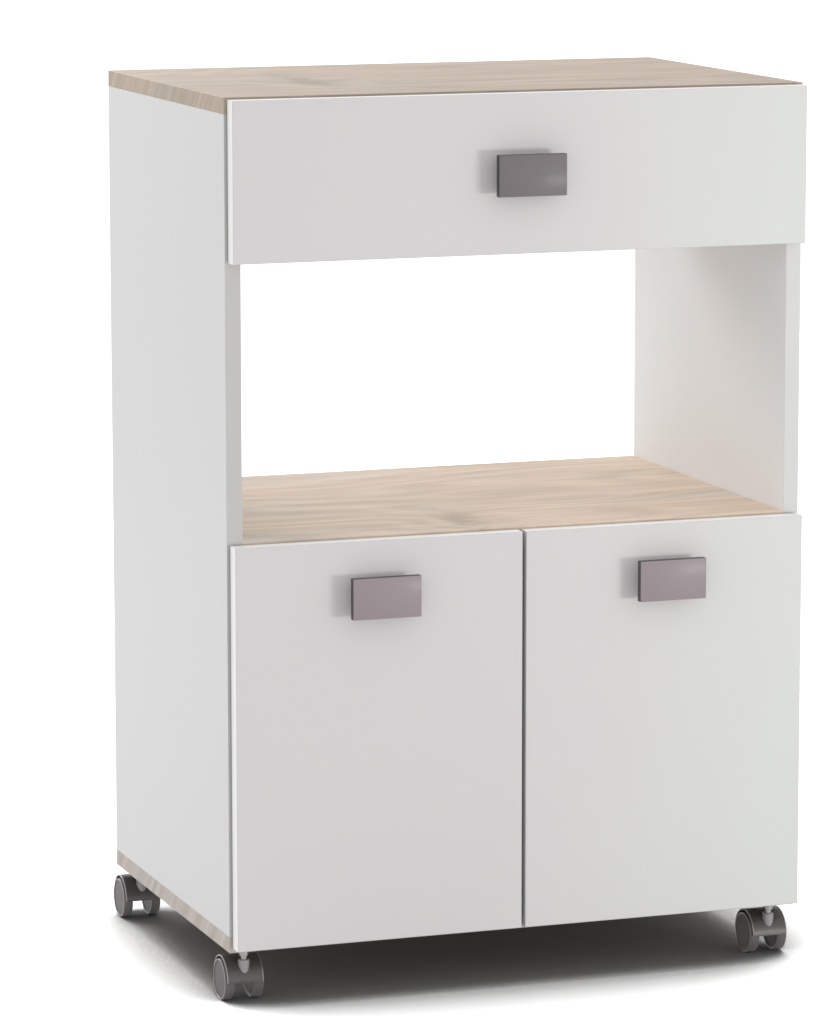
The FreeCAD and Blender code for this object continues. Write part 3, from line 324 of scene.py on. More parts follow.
# %% [markdown]
# ## Metals, lacquer and plastic
# The handles are castings in a satin taupe lacquer; their side faces are written much darker, as
# painted shade, and the door handles take a lighter copy of the drawer handle's lacquer, as painted
# light.  The casters have a grey finish with a warm tint, and their beads and wheel rims a far lighter
# one, a painted highlight.  Runners are white baked enamel, hinges are nickel and screws zinc plated.
# A fine grain drives colour, sheen and relief together, because on a real metal one thing causes all
# three.

# %% Hardware finishes
def hardware(name, color, roughness, metallic, coat=0.0, grain=600.0, strength=0.08, spread=0.06,
             edge=None):
    finish = Finish(name, color, roughness, metallic, coat)
    speckle = finish.noise(finish.place(), grain, 3.0, 0.6)
    cloud = finish.noise(finish.place(), 38.0, 2.0, 0.5)
    low = tuple(c * (1 - spread) for c in color)
    high = tuple(min(1, c * (1 + spread)) for c in color)
    tone = finish.mix(speckle * 0.5 + cloud * 0.5, (*low, 1), (*high, 1))
    # faces turned away from Y, a handle plate's sides, are written dark: painted shade
    if edge:
        tone = finish.mix(finish.facing("Y").size() < 0.6, tone, (*edge, 1))
    finish.set("Base Color", tone)
    finish.set("Roughness", roughness - 0.05 + speckle * 0.10)
    finish.set("Normal", finish.bump(speckle, strength, 0.0001))
    return finish.material


HARDBOARD = hardware("white_hardboard", (0.68, 0.68, 0.67), 0.6, 0.0, grain=350.0, strength=0.2)
# the edge colours are painted shade on the handle plates' sides
TAUPE = hardware("taupe_lacquer", (0.162, 0.142, 0.149), 0.50, 0.0, coat=0.05, grain=1500.0,
                 edge=(0.040, 0.033, 0.037))
# the door handles' lacquer is a lighter copy of the drawer handle's: painted light
LIT_TAUPE = hardware("taupe_lacquer_painted_light", (0.298, 0.246, 0.264), 0.50, 0.0, coat=0.05, grain=1500.0,
                      edge=(0.058, 0.047, 0.052))
HOOD = hardware("caster_hood_grey", (0.090, 0.083, 0.083), 0.38, 0.4, grain=900.0, spread=0.05)
# written far lighter than the hood: a painted highlight on the hood's beads and the wheels' rims
RIM_HIGHLIGHT = hardware("caster_rim_painted_highlight", (0.36, 0.34, 0.345), 0.3, 0.6, grain=900.0, spread=0.04)
BOSS = hardware("caster_boss", (0.36, 0.325, 0.335), 0.4, 0.2, grain=900.0, spread=0.04)
TREAD = hardware("wheel_tread", (0.130, 0.122, 0.122), 0.40, 0.2, grain=900.0, spread=0.05)
DISC = hardware("wheel_disc", (0.130, 0.113, 0.118), 0.38, 0.2, grain=900.0, spread=0.05)
BRIGHT = hardware("bright_steel", (0.46, 0.45, 0.44), 0.28, 0.9, grain=700.0, spread=0.03)
ZINC = hardware("zinc_plate", (0.66, 0.67, 0.68), 0.34, 0.9, grain=500.0, spread=0.10)
CAST = hardware("zinc_casting", (0.50, 0.51, 0.52), 0.48, 0.9, grain=420.0, strength=0.2, spread=0.12)
NICKEL = hardware("nickel_plate", (0.70, 0.68, 0.64), 0.26, 0.9, grain=600.0, spread=0.05)
ENAMEL = hardware("white_enamel", (0.74, 0.74, 0.72), 0.32, 0.0, coat=0.4, grain=260.0, strength=0.12)
ROLLER = hardware("roller_steel", (0.56, 0.56, 0.57), 0.40, 0.9, grain=300.0, spread=0.05)
RECESS = hardware("recess_shade", (0.16, 0.16, 0.16), 0.6, 0.5, grain=500.0, spread=0.1)

DRESS = {
    "oak_board": OAK_TOP, "white_board": WHITE_FRONT, "white_hardboard": HARDBOARD, "zinc_steel": ZINC,
    "zinc_cast": CAST, "nickel_steel": NICKEL, "bright_steel": BRIGHT, "runner_enamel": ENAMEL,
    "roller_steel": ROLLER, "handle_taupe": TAUPE, "caster_hood": HOOD, "caster_wheel": TREAD,
}
BY_NODE = {
    "microwave_shelf": OAK_SHELF_PAINTED_LIGHT, "bottom_panel": OAK_BOTTOM, "inner_shelf": WHITE_FLAT,
    "side_panel_left": WHITE_SIDE, "side_panel_right": WHITE_SIDE, "drawer_side_left": WHITE_SIDE,
    "drawer_side_right": WHITE_SIDE,
}
SLOT_OF = {part["node"]: part["material_slot"] for part in frame["record"]["subparts"]}
for name, node in frame["nodes"].items():
    finish = BY_NODE.get(name, DRESS[SLOT_OF[name]])
    node.data.materials.clear()
    node.data.materials.append(finish)
print("dressed", len(frame["nodes"]), "nodes")

# %% [markdown]
# ## Softened edges
# No board or bent sheet ends in a mathematically sharp edge, and a small round catches a line of light
# that tells the eye how big the thing is.  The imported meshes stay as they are; a Weld modifier joins
# their loose triangles and a Bevel modifier then rounds every edge that turns by more than 40 degrees.

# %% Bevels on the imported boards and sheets
SOFT_EDGES = {
    0.4: ["top_panel", "bottom_panel", "side_panel_left", "side_panel_right", "microwave_shelf",
          "rear_rail", "inner_shelf", "drawer_back"],
    0.25: ["hinge_plates", "cabinet_runner_left", "cabinet_runner_right", "drawer_runner_left",
           "drawer_runner_right"],
}
for radius, names in SOFT_EDGES.items():
    for name in names:
        node = frame["nodes"][name]
        weld = node.modifiers.new("weld", "WELD")
        weld.merge_threshold = 0.00001
        bevel = node.modifiers.new("soft_edge", "BEVEL")
        bevel.width = radius * MM
        bevel.segments = 2
        bevel.limit_method = "ANGLE"
        bevel.angle_limit = math.radians(40)
        bevel.use_clamp_overlap = True
print("softened", sum(len(names) for names in SOFT_EDGES.values()), "nodes")

# %% [markdown]
# ## Workshop helpers
# Three shapes make nearly all the hardware.  A profile spun about an axis gives wheels, pins, cups and
# screw heads.  A cube with bevelled edges gives plates.  A flat outline extruded along an axis gives a
# bent arm.  Each helper works in millimetres and adds to a bmesh, so one piece can hold many shapes.

# %% Spin, block and piece helpers
AXES = {"x": Vector((1, 0, 0)), "y": Vector((0, 1, 0)), "z": Vector((0, 0, 1))}
ACROSS = {"x": Vector((0, 0, 1)), "y": Vector((0, 0, 1)), "z": Vector((1, 0, 0))}


def spun(shape, profile, centre, axis, direction=1, steps=48, finish=0):
    """Revolve (distance along the axis, radius) points in millimetres about an axis at the centre."""
    along = AXES[axis] * direction
    across = ACROSS[axis]
    middle = Vector(centre) * MM
    points = [shape.verts.new(middle + along * (d * MM) + across * (r * MM)) for d, r in profile]
    edges = [shape.edges.new(pair) for pair in zip(points, points[1:])]
    before = set(shape.faces)
    bmesh.ops.spin(shape, geom=points + edges, cent=middle, axis=AXES[axis], dvec=(0, 0, 0),
                   angle=2 * math.pi, steps=steps, use_merge=True)
    made = [face for face in shape.faces if face not in before]
    for face in made:
        face.material_index = finish
    return made


def block(shape, low, high, edge, segments=2):
    """A box between two corners in millimetres, with its edges rounded."""
    made = bmesh.ops.create_cube(shape, size=1.0)["verts"]
    size = [(b - a) * MM for a, b in zip(low, high)]
    middle = [(a + b) / 2 * MM for a, b in zip(low, high)]
    bmesh.ops.scale(shape, vec=size, verts=made)
    bmesh.ops.translate(shape, vec=middle, verts=made)
    edges = list({e for v in made for e in v.link_edges})
    bmesh.ops.bevel(shape, geom=edges, offset=edge * MM, segments=segments, profile=0.5,
                    affect="EDGES", material=-1)


HEAD_SIDES = 24
HEAD_DRAFT = 0.25           # how much a head narrows, over its height
RECESS_HALF = 0.24          # half the width of the cross, over its arm
RECESS_DEPTH = 0.8          # depth of the cross, over the head's height


def cross_head(shape, centre, axis, direction, radius, height, arm, finish=0, dark=1):
    """A screw head with a cross recess; the centre lies under the head, on the board's face."""
    along = AXES[axis] * direction
    side = ACROSS[axis]
    other = along.cross(side)
    middle = Vector(centre) * MM
    top = middle + along * (height * MM)
    rim_radius = radius - HEAD_DRAFT * height

    def loop(points):
        verts = [shape.verts.new(top + side * (a * MM) + other * (b * MM)) for a, b in points]
        return verts, [shape.edges.new((verts[i - 1], verts[i])) for i in range(len(verts))]

    turns = [2 * math.pi * i / HEAD_SIDES for i in range(HEAD_SIDES)]
    rim, rim_edges = loop([(rim_radius * math.cos(t), rim_radius * math.sin(t)) for t in turns])
    half = arm * RECESS_HALF
    corner = [(arm, -half), (arm, half), (half, half)]
    points = []
    for quarter in range(4):
        c, s = ((1, 0), (0, 1), (-1, 0), (0, -1))[quarter]
        points += [(a * c - b * s, a * s + b * c) for a, b in corner]
    recess, recess_edges = loop(points)
    made = bmesh.ops.triangle_fill(shape, edges=rim_edges + recess_edges, use_beauty=True,
                                   use_dissolve=False, normal=along)
    for item in made["geom"]:
        if isinstance(item, bmesh.types.BMFace):
            item.material_index = finish
    pit = bmesh.ops.extrude_edge_only(shape, edges=recess_edges)["geom"]
    pit_verts = [g for g in pit if isinstance(g, bmesh.types.BMVert)]
    bmesh.ops.translate(shape, vec=along * (-RECESS_DEPTH * height * MM), verts=pit_verts)
    floor = bmesh.ops.contextual_create(shape, geom=[g for g in pit if isinstance(g, bmesh.types.BMEdge)
                                                     and all(v in pit_verts for v in g.verts)])
    for face in [g for g in pit if isinstance(g, bmesh.types.BMFace)] + floor["faces"]:
        face.material_index = dark
    wall = bmesh.ops.extrude_edge_only(shape, edges=rim_edges)["geom"]
    wall_verts = [g for g in wall if isinstance(g, bmesh.types.BMVert)]
    bmesh.ops.scale(shape, vec=(radius / rim_radius,) * 3, verts=wall_verts,
                    space=Matrix.Translation(-top))
    bmesh.ops.translate(shape, vec=along * (-height * MM), verts=wall_verts)
    for item in wall:
        if isinstance(item, bmesh.types.BMFace):
            item.material_index = finish


def piece(name, shape, finishes, body, slot, *nodes):
    """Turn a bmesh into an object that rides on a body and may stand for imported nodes."""
    bmesh.ops.remove_doubles(shape, verts=shape.verts, dist=0.000002)
    bmesh.ops.recalc_face_normals(shape, faces=shape.faces)
    mesh = bpy.data.meshes.new(name)
    shape.to_mesh(mesh)
    shape.free()
    for finish in finishes:
        mesh.materials.append(finish)
    for polygon in mesh.polygons:
        polygon.use_smooth = True
    mesh.set_sharp_from_angle(angle=math.radians(32))
    made = bpy.data.objects.new(name, mesh)
    bpy.context.scene.collection.objects.link(made)
    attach(made, body)
    if nodes:
        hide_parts(*nodes)
    return made


print("workshop ready")

# %% [markdown]
# ## Handles
# Each handle is a rectangular plate, 70 by 40.5 mm, held 13 mm off its front by two round posts.  The
# plate's edges are only just broken.  Each post widens a little where it meets the front, as a cast
# foot does, so its profile is spun and not a plain bar.

# %% Handles
PLATE = (70.0, 40.5, 8.0)
STAND_OFF = 13.0
POST = [(0.0, 0.0), (0.0, 6.2), (0.5, 6.2), (1.3, 5.4), (2.2, 5.0), (12.2, 5.0), (14.0, 5.4), (14.0, 0.0)]


def make_handle(name, body, node, finish):
    x, z = PULLS[body]
    shape = bmesh.new()
    near = FRONT_FACE - STAND_OFF
    block(shape, (x - PLATE[0] / 2, near - PLATE[2], z - PLATE[1] / 2),
          (x + PLATE[0] / 2, near, z + PLATE[1] / 2), edge=0.6, segments=3)
    for offset in PULL_SCREWS:
        spun(shape, POST, (x + offset, FRONT_FACE, z), "y", -1, steps=32)
    return piece(name, shape, [finish], body, "handle_taupe", node)


make_handle("drawer_pull", "drawer", "drawer_handle", TAUPE)
make_handle("left_door_pull", "left_door", "door_handle_left", LIT_TAUPE)
make_handle("right_door_pull", "right_door", "door_handle_right", LIT_TAUPE)
print("handles made")

# %% [markdown]
# ## Casters
# A twin-wheel caster is a drum-shaped hood with a wheel at each end.  The hood's shell is one closed
# profile, a ring with a solid middle, spun through nearly half a turn about the axle: spinning a face
# gives a solid with its ends closed.  A boss in front holds the stem that it swivels on, thin beads run
# along its ends, and a plain lip runs along each lower edge.  The beads and the rims of each wheel are
# written far lighter than the hood, a painted highlight.  A wheel is a profile spun all the way round:
# rounded tread, raised rim, sunk disc.

# %% Caster numbers and profiles
CASTER_X = 280.0
CASTER_ROWS = {"front": CARCASS_FRONT + 18.0, "rear": CARCASS_BACK - 24.0}
CORNERS = {row + "_" + hand: (side * CASTER_X, y) for row, y in CASTER_ROWS.items()
           for side, hand in ((-1, "left"), (1, "right"))}
TRAIL = 17.5
AXLE_HEIGHT = 20.5
HOOD_SECTION = [(-18.5, 22.5), (-18.5, 23.6), (-18.1, 24.0), (18.1, 24.0), (18.5, 23.6), (18.5, 22.5),
                (9.5, 22.5), (9.5, 1.0), (-9.5, 1.0), (-9.5, 22.5)]
BEAD = [(17.7, 23.9), (17.7, 24.15), (18.0, 24.3), (18.4, 24.15), (18.55, 23.8), (18.55, 22.9),
        (18.2, 22.9), (17.9, 23.4)]
BOSS_PROFILE = [(28.8, 0.0), (28.8, 3.9), (29.1, 4.2), (37.8, 5.7), (42.8, 5.7), (43.3, 5.2),
                (43.3, 3.4), (42.3, 3.2), (42.3, 0.0)]
WHEEL_PROFILE = [(10.3, 0.0), (10.3, 5.0), (11.3, 6.2), (11.3, 17.0), (10.2, 18.4), (10.0, 19.2),
                 (10.2, 20.1), (10.9, 20.5), (19.0, 20.5), (19.7, 20.2), (20.0, 19.6), (20.0, 18.9),
                 (19.7, 18.6), (19.2, 18.4), (19.25, 12.0), (19.35, 6.0), (19.4, 0.0)]
HOOD_START = math.radians(1.9)      # angle of the hood's lower edges above the axle's level
LIP_RADIUS, LIP_HALF = 23.6, 18.3   # a lip's distance from the axle and half its length
LIP_THICKNESS, LIP_LEVELS = 0.9, (20.9, 21.9)
print("caster profiles:", len(HOOD_SECTION), len(BOSS_PROFILE), len(WHEEL_PROFILE))


# %% Hoods
def half_drum(shape, section, x, axle_y, start, turn, finish):
    """Spin a closed outline of (x, radius) points part of the way round the axle, as a solid."""
    before = set(shape.faces)
    centre = Vector((x, axle_y, AXLE_HEIGHT)) * MM
    ray = Vector((0, -math.cos(start), math.sin(start)))
    face = shape.faces.new([shape.verts.new(centre + AXES["x"] * (a * MM) + ray * (r * MM))
                            for a, r in section])
    geom = [face] + list(face.edges) + list(face.verts)
    bmesh.ops.spin(shape, geom=geom, cent=centre, axis=(-1, 0, 0), dvec=(0, 0, 0), angle=turn,
                   steps=56, use_duplicate=False)
    for made in shape.faces:
        if made not in before:
            made.material_index = finish


def make_hood(corner, x, y):
    shape = bmesh.new()
    axle_y = y + TRAIL
    turn = math.pi - 2 * HOOD_START
    half_drum(shape, HOOD_SECTION, x, axle_y, HOOD_START, turn, 0)
    for side in (-1, 1):
        # the beads take the lighter rim finish: a painted highlight
        half_drum(shape, [(side * a, r) for a, r in BEAD], x, axle_y, HOOD_START, turn, 1)
        lip_y = axle_y + side * LIP_RADIUS
        block(shape, (x - LIP_HALF, lip_y - LIP_THICKNESS / 2, LIP_LEVELS[0]),
              (x + LIP_HALF, lip_y + LIP_THICKNESS / 2, LIP_LEVELS[1]), 0.2)
    spun(shape, [(-9.5, 0.0), (-9.5, 3.6), (-9.2, 3.8), (9.2, 3.8), (9.5, 3.6), (9.5, 0.0)],
         (x, axle_y, AXLE_HEIGHT), "x", steps=32)
    spun(shape, BOSS_PROFILE, (x, y, 0.0), "z", steps=40, finish=2)
    return piece("hood_" + corner, shape, [HOOD, RIM_HIGHLIGHT, BOSS], "caster_" + corner, "caster_hood",
                 "caster_hood_" + corner)


for corner, (x, y) in CORNERS.items():
    made = make_hood(corner, x, y)
print("four hoods,", len(made.data.polygons), "faces each")


# %% Wheels
DISC_PLANE, OUTER_RIM, INNER_RIM = 19.0, 19.4, 10.3   # outwards from the caster's middle
RIM_RADIUS, WELL_RADIUS = 18.5, 18.0                  # the rims lie outside these


def make_wheel(corner, side, x, y):
    """One wheel; side -1 is the one nearer -X."""
    shape = bmesh.new()
    # the rim faces take the lighter rim finish: a painted highlight
    for face in spun(shape, WHEEL_PROFILE, (x, y + TRAIL, AXLE_HEIGHT), "x", side, steps=72):
        spot = face.calc_center_median() / MM
        outward = side * (spot.x - x)
        reach = math.hypot(spot.y - y - TRAIL, spot.z - AXLE_HEIGHT)
        if outward > DISC_PLANE and reach < RIM_RADIUS:
            face.material_index = 1
        elif outward > OUTER_RIM and reach > RIM_RADIUS or outward < INNER_RIM and reach > WELL_RADIUS:
            face.material_index = 2
    hand = "left" if side < 0 else "right"
    return piece("tyre_%s_%s" % (corner, hand), shape, [TREAD, DISC, RIM_HIGHLIGHT],
                 "wheel_body_%s_%s" % (corner, hand), "caster_wheel", "wheel_%s_%s" % (corner, hand))


for corner, (x, y) in CORNERS.items():
    for side in (-1, 1):
        made = make_wheel(corner, side, x, y)
print("eight wheels,", len(made.data.polygons), "faces each")

# %% [markdown]
# Above each boss the stem shows as a short bright pin, then a collar, then the flange of the nut that is
# driven into the bottom board.  They are one profile each, spun about the stem.

# %% Stems and nuts
shape = bmesh.new()
for x, y in CORNERS.values():
    spun(shape, [(36.5, 0.0), (36.5, 2.9), (36.8, 3.15), (47.2, 3.15), (47.2, 4.4), (47.5, 4.7),
                 (52.9, 4.7), (53.5, 4.3), (53.5, 3.9), (65.5, 3.9), (65.5, 0.0)], (x, y, 0.0), "z",
         steps=40)
piece("stems", shape, [BRIGHT], "cabinet", "bright_steel", "caster_stems")
shape = bmesh.new()
for x, y in CORNERS.values():
    spun(shape, [(53.5, 4.15), (53.5, 7.6), (53.8, 8.0), (55.0, 8.0), (55.0, 5.5), (68.0, 5.5),
                 (68.0, 4.15), (53.5, 4.15)], (x, y, 0.0), "z", steps=40)
piece("driven_nuts", shape, [ZINC], "cabinet", "zinc_steel", "insert_nuts")
print("stems and nuts made")

# %% [markdown]
# ## Fasteners
# With a door or the drawer open, the fasteners are what shows: cam discs that lie flush in the boards
# with a cross recess, screws with round heads, and round pins under the loose shelf.  A cross recess
# is a hole in the head's flat face, so the face is filled between two loops, the rim and the cross, and
# the cross is then pushed inwards.

# %% Cams
CAM_RADIUS, CAM_DEPTH = 7.5, 12.4
CAM_INSET = 34.0                    # from a cam's centre to the end of its board
CAM_ROWS = (CARCASS_FRONT + 50.0, CARCASS_BACK - 50.0)
RAIL_BACK, RAIL_MIDDLE = CARCASS_BACK - 2.0, TOP_UNDERSIDE - 40.0
DRAWER_CAM_RADIUS, DRAWER_CAM_DEPTH = 6.0, 9.4
DRAWER_SIDE_X = INNER_X - 12.5      # outer face of a drawer side
FLUSH_HEAD = 0.5                    # thickness of the disc's cross-recessed face


def cam(shape, centre, axis, direction, radius, depth):
    """A cast disc whose cross-recessed face is flush with the board at the centre point."""
    spun(shape, [(-depth, 0.0), (-depth, radius), (-FLUSH_HEAD, radius)], centre, axis, direction, steps=28)
    under = Vector(centre) - AXES[axis] * (direction * FLUSH_HEAD)
    cross_head(shape, under, axis, direction, radius, FLUSH_HEAD, radius * 0.45)


shape = bmesh.new()
for y in CAM_ROWS:
    for side in (-1, 1):
        for z in (BOTTOM_FACE + CAM_INSET, TOP_UNDERSIDE - CAM_INSET):
            cam(shape, (side * INNER_X, y, z), "x", -side, CAM_RADIUS, CAM_DEPTH)
        cam(shape, (side * (INNER_X - CAM_INSET), y, SHELF_UNDERSIDE), "z", -1, CAM_RADIUS, CAM_DEPTH)
for side in (-1, 1):
    cam(shape, (side * (INNER_X - CAM_INSET), RAIL_BACK, RAIL_MIDDLE), "y", 1, CAM_RADIUS, CAM_DEPTH)
piece("cabinet_cams", shape, [CAST, RECESS], "cabinet", "zinc_cast", "cam_discs")
shape = bmesh.new()
for side in (-1, 1):
    for rise in (34.0, 80.0):
        cam(shape, (side * DRAWER_SIDE_X, FRONT_BACK + 24.0, DRAWER_BOTTOM + rise), "x", side,
            DRAWER_CAM_RADIUS, DRAWER_CAM_DEPTH)
piece("drawer_cam_set", shape, [CAST, RECESS], "drawer", "zinc_cast", "drawer_cams")
print("cams made")


# %% Screws
def screw(shape, centre, axis, direction, head, height, shank, length):
    """A round-headed screw whose head rests on the surface at the centre point."""
    cross_head(shape, centre, axis, direction, head, height, head * 0.5)
    spun(shape, [(0.0, head), (0.0, shank), (-length, shank), (-length - 0.1, 0.0)], centre, axis,
         direction, steps=20)


SHEET = 1.2                         # wall of the runners
RUNNER_SCREW_INSET = 60.0
RUNNER_SCREW_HEIGHT = 762.6
LIP_SCREW_X = 266.0
HINGE_SCREWS = (-16.0, 16.0)        # from the middle of a hinge
HINGE_SCREW_Y = CARCASS_FRONT + 37.0
PLATE_FACE = INNER_X - 3.4          # face of a hinge plate
BOARD_HEAD = (4.0, 0.8, 2.4)        # head radius, head height, shank radius
LIP_HEAD = (3.2, 0.8, 1.6)
PULL_HEAD = (4.0, 2.0, 1.9)


def screw_rows(front):
    """Where the two screws of a runner sit that starts at this Y."""
    return front + RUNNER_SCREW_INSET, front + RUNNER_LENGTH - RUNNER_SCREW_INSET


shape = bmesh.new()
for side in (-1, 1):
    for y in screw_rows(RUNNER_FRONT):
        screw(shape, (side * (INNER_X - SHEET), y, RUNNER_SCREW_HEIGHT), "x", -side, *BOARD_HEAD, 12.0)
    for height in HINGE_HEIGHTS:
        for offset in HINGE_SCREWS:
            screw(shape, (side * PLATE_FACE, HINGE_SCREW_Y, height + offset), "x", -side, *BOARD_HEAD, 14.3)
piece("board_screws", shape, [ZINC, RECESS], "cabinet", "zinc_steel", "euro_screws")
shape = bmesh.new()
for side in (-1, 1):
    for y in screw_rows(FRONT_BACK):
        screw(shape, (side * LIP_SCREW_X, y, DRAWER_BOTTOM - SHEET), "z", -1, *LIP_HEAD, 10.0)
piece("lip_screws", shape, [ZINC, RECESS], "drawer", "zinc_steel", "drawer_runner_screws")
for name, body, node in (("drawer_pull_screws", "drawer", "drawer_handle_screws"),
                         ("left_pull_screws", "left_door", "door_left_handle_screws"),
                         ("right_pull_screws", "right_door", "door_right_handle_screws")):
    x, z = PULLS[body]
    shape = bmesh.new()
    for offset in PULL_SCREWS:
        screw(shape, (x + offset, FRONT_BACK, z), "y", 1, *PULL_HEAD, 24.5)
    piece(name, shape, [ZINC, RECESS], body, "zinc_steel", node)
print("screws made")

# %% [markdown]
# ## Rollers and shelf pins
# A drawer roller has a tread with broken corners and a raised hub.  A shelf pin is a round bar that is a
# shade thicker outside its hole.

# %% Rollers and pins
ROLLER_PROFILE = [(0.0, 2.6), (0.0, 4.4), (0.5, 4.8), (0.5, 8.4), (0.1, 8.9), (0.1, 9.6), (0.6, 10.0),
                  (7.4, 10.0), (7.9, 9.6), (7.9, 8.9), (7.5, 8.4), (7.5, 4.8), (8.0, 4.4), (8.0, 2.6),
                  (0.0, 2.6)]
ROLLER_INSET = 13.0                 # from a roller's axis to the end of its runner
ROLLER_STARTS = (-281.9, 273.9)     # the X at which each roller's profile begins
CABINET_ROLLER_Y = RUNNER_FRONT + ROLLER_INSET
DRAWER_ROLLER_Y = FRONT_BACK + RUNNER_LENGTH - ROLLER_INSET
for name, y, body, node in (
        ("cabinet_roller_set", CABINET_ROLLER_Y, "cabinet_roller_pair", "cabinet_rollers"),
        ("drawer_roller_set", DRAWER_ROLLER_Y, "drawer_roller_pair", "drawer_rollers")):
    shape = bmesh.new()
    for start in ROLLER_STARTS:
        spun(shape, ROLLER_PROFILE, (start, y, ROLLER_HEIGHT), "x", steps=48)
    piece(name, shape, [ROLLER], body, "roller_steel", node)
PIN_PROFILE = [(-8.0, 0.0), (-8.0, 2.1), (-7.6, 2.45), (0.0, 2.45), (0.05, 2.5), (8.7, 2.5), (9.0, 2.2),
               (9.0, 0.0)]
PIN_ROWS = (CARCASS_FRONT + 85.0, CARCASS_BACK - 59.0)
PIN_HEIGHT = 258.0 - 0.33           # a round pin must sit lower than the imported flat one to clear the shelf
shape = bmesh.new()
for side in (-1, 1):
    for y in PIN_ROWS:
        spun(shape, PIN_PROFILE, (side * INNER_X, y, PIN_HEIGHT), "x", -side, steps=28)
piece("pins_under_shelf", shape, [ZINC], "cabinet", "zinc_steel", "shelf_pins")
print("rollers and pins made")

# %% [markdown]
# ## Cup hinges
# The cup is a shallow round bowl pressed into the door, with a flange that is rounded at both ends and a
# pin across the bowl.  The arm has a long leg in the cupboard and a short, narrower one that reaches into
# the cup: each is an outline in plan, extruded upwards, with its edges bevelled.  Adjusting screws sit in
# the long leg.

# %% Cups
HINGE_AXIS = (291.5, -199.75)
CUP_X, FLANGE_X = 277.0, 269.0
CUP_PROFILE = [(-12.45, 0.0), (-12.45, 16.9), (-12.0, 17.4), (-0.05, 17.4), (0.9, 17.45), (1.0, 17.2),
               (1.0, 16.8), (-11.3, 16.7), (-11.7, 16.3), (-11.7, 0.0)]
FLANGE = 0.95                       # thickness of the flange on the door's rear face
FLANGE_HALF, FLANGE_RADIUS = 22.0, 7.0
CUP_SCREWS = (-22.5, 22.5)          # from the middle of a hinge
CUP_HEAD = (3.4, 0.4, 1.7)          # head radius, head height, arm of the cross
CUP_PIN = [(-7.5, 0.0), (-7.5, 1.0), (7.5, 1.0), (7.5, 0.0)]


def stadium(shape, centre, half_length, radius, low, high):
    """A flat strip with round ends, standing up Z in its own plane and Y thick."""
    x, z = centre
    turns = [math.pi * i / 16 for i in range(17)]
    points = [(x + radius * math.cos(t), z + half_length + radius * math.sin(t)) for t in turns]
    points += [(x - radius * math.cos(t), z - half_length - radius * math.sin(t)) for t in turns]
    face = shape.faces.new([shape.verts.new(Vector((a, low, b)) * MM) for a, b in points])
    made = bmesh.ops.extrude_face_region(shape, geom=[face])["geom"]
    verts = [g for g in made if isinstance(g, bmesh.types.BMVert)]
    bmesh.ops.translate(shape, vec=(0, (high - low) * MM, 0), verts=verts)


for side, hand in ((-1, "left"), (1, "right")):
    shape = bmesh.new()
    for z in HINGE_HEIGHTS:
        stadium(shape, (side * FLANGE_X, z), FLANGE_HALF, FLANGE_RADIUS, FRONT_BACK, FRONT_BACK + FLANGE)
        spun(shape, CUP_PROFILE, (side * CUP_X, FRONT_BACK, z), "y", 1, steps=56)
        spun(shape, CUP_PIN, (side * HINGE_AXIS[0], HINGE_AXIS[1], z), "z", steps=16)
        for offset in CUP_SCREWS:
            cross_head(shape, (side * FLANGE_X, FRONT_BACK + FLANGE, z + offset), "y", 1, *CUP_HEAD)
    piece("cups_" + hand, shape, [NICKEL, RECESS], hand + "_door", "nickel_steel", "hinge_cups_" + hand)
print("cups made")


# %% Arms
ARM_INNER, ARM_OUTER = 10.9, 12.9   # faces of the arm's long leg, from the hinge's axis
ARM_SCREWS = (26.0, 46.0)           # behind the hinge's axis
ARM_HEAD = (3.6, 0.7, 2.0)
EYE = [(-2.5, 1.08), (-2.5, 1.6), (2.5, 1.6), (2.5, 1.08), (-2.5, 1.08)]


def arm(shape, side, z):
    """The cranked arm in plan from its eye in the cup to its end in the cupboard."""
    long_leg = [(ARM_OUTER, -1.4), (ARM_OUTER, 62.5), (ARM_INNER, 62.5), (ARM_INNER, -0.5)]
    short_leg = [(0.0, -1.0), (ARM_INNER, -2.45), (ARM_OUTER, -1.4), (ARM_INNER, -0.5), (0.0, 1.0)]
    for outline, half in ((long_leg, 6.0), (short_leg, 2.5)):
        verts = [shape.verts.new(Vector((side * (a - HINGE_AXIS[0]), HINGE_AXIS[1] + b, z - half)) * MM)
                 for a, b in outline]
        face = shape.faces.new(verts)
        made = bmesh.ops.extrude_face_region(shape, geom=[face])["geom"]
        lifted = [g for g in made if isinstance(g, bmesh.types.BMVert)]
        bmesh.ops.translate(shape, vec=(0, 0, 2 * half * MM), verts=lifted)
        edges = list({e for v in verts + lifted for e in v.link_edges})
        bmesh.ops.bevel(shape, geom=edges, offset=0.22 * MM, segments=2, profile=0.5, affect="EDGES",
                        material=-1)
    spun(shape, EYE, (side * -HINGE_AXIS[0], HINGE_AXIS[1], z), "z", steps=24)
    for back in ARM_SCREWS:
        spot = (side * (ARM_OUTER - HINGE_AXIS[0]), HINGE_AXIS[1] + back, z)
        cross_head(shape, spot, "x", side, *ARM_HEAD)


shape = bmesh.new()
for side in (-1, 1):
    for z in HINGE_HEIGHTS:
        arm(shape, -side, z)
piece("arms", shape, [NICKEL, RECESS], "cabinet", "nickel_steel", "hinge_arms")
print("arms made")

# %% [markdown]
# ## The studio
# The picture has a white floor that keeps a dark, soft-edged shadow under the cart.  The floor is an
# ordinary matt surface for all the light that bounces on it.  Only for the camera does its colour rise
# to white where the floor is open, and fall where the cart hangs close over it: the Ambient Occlusion
# node measures how much of the sky a point of the floor can see within 30 cm.

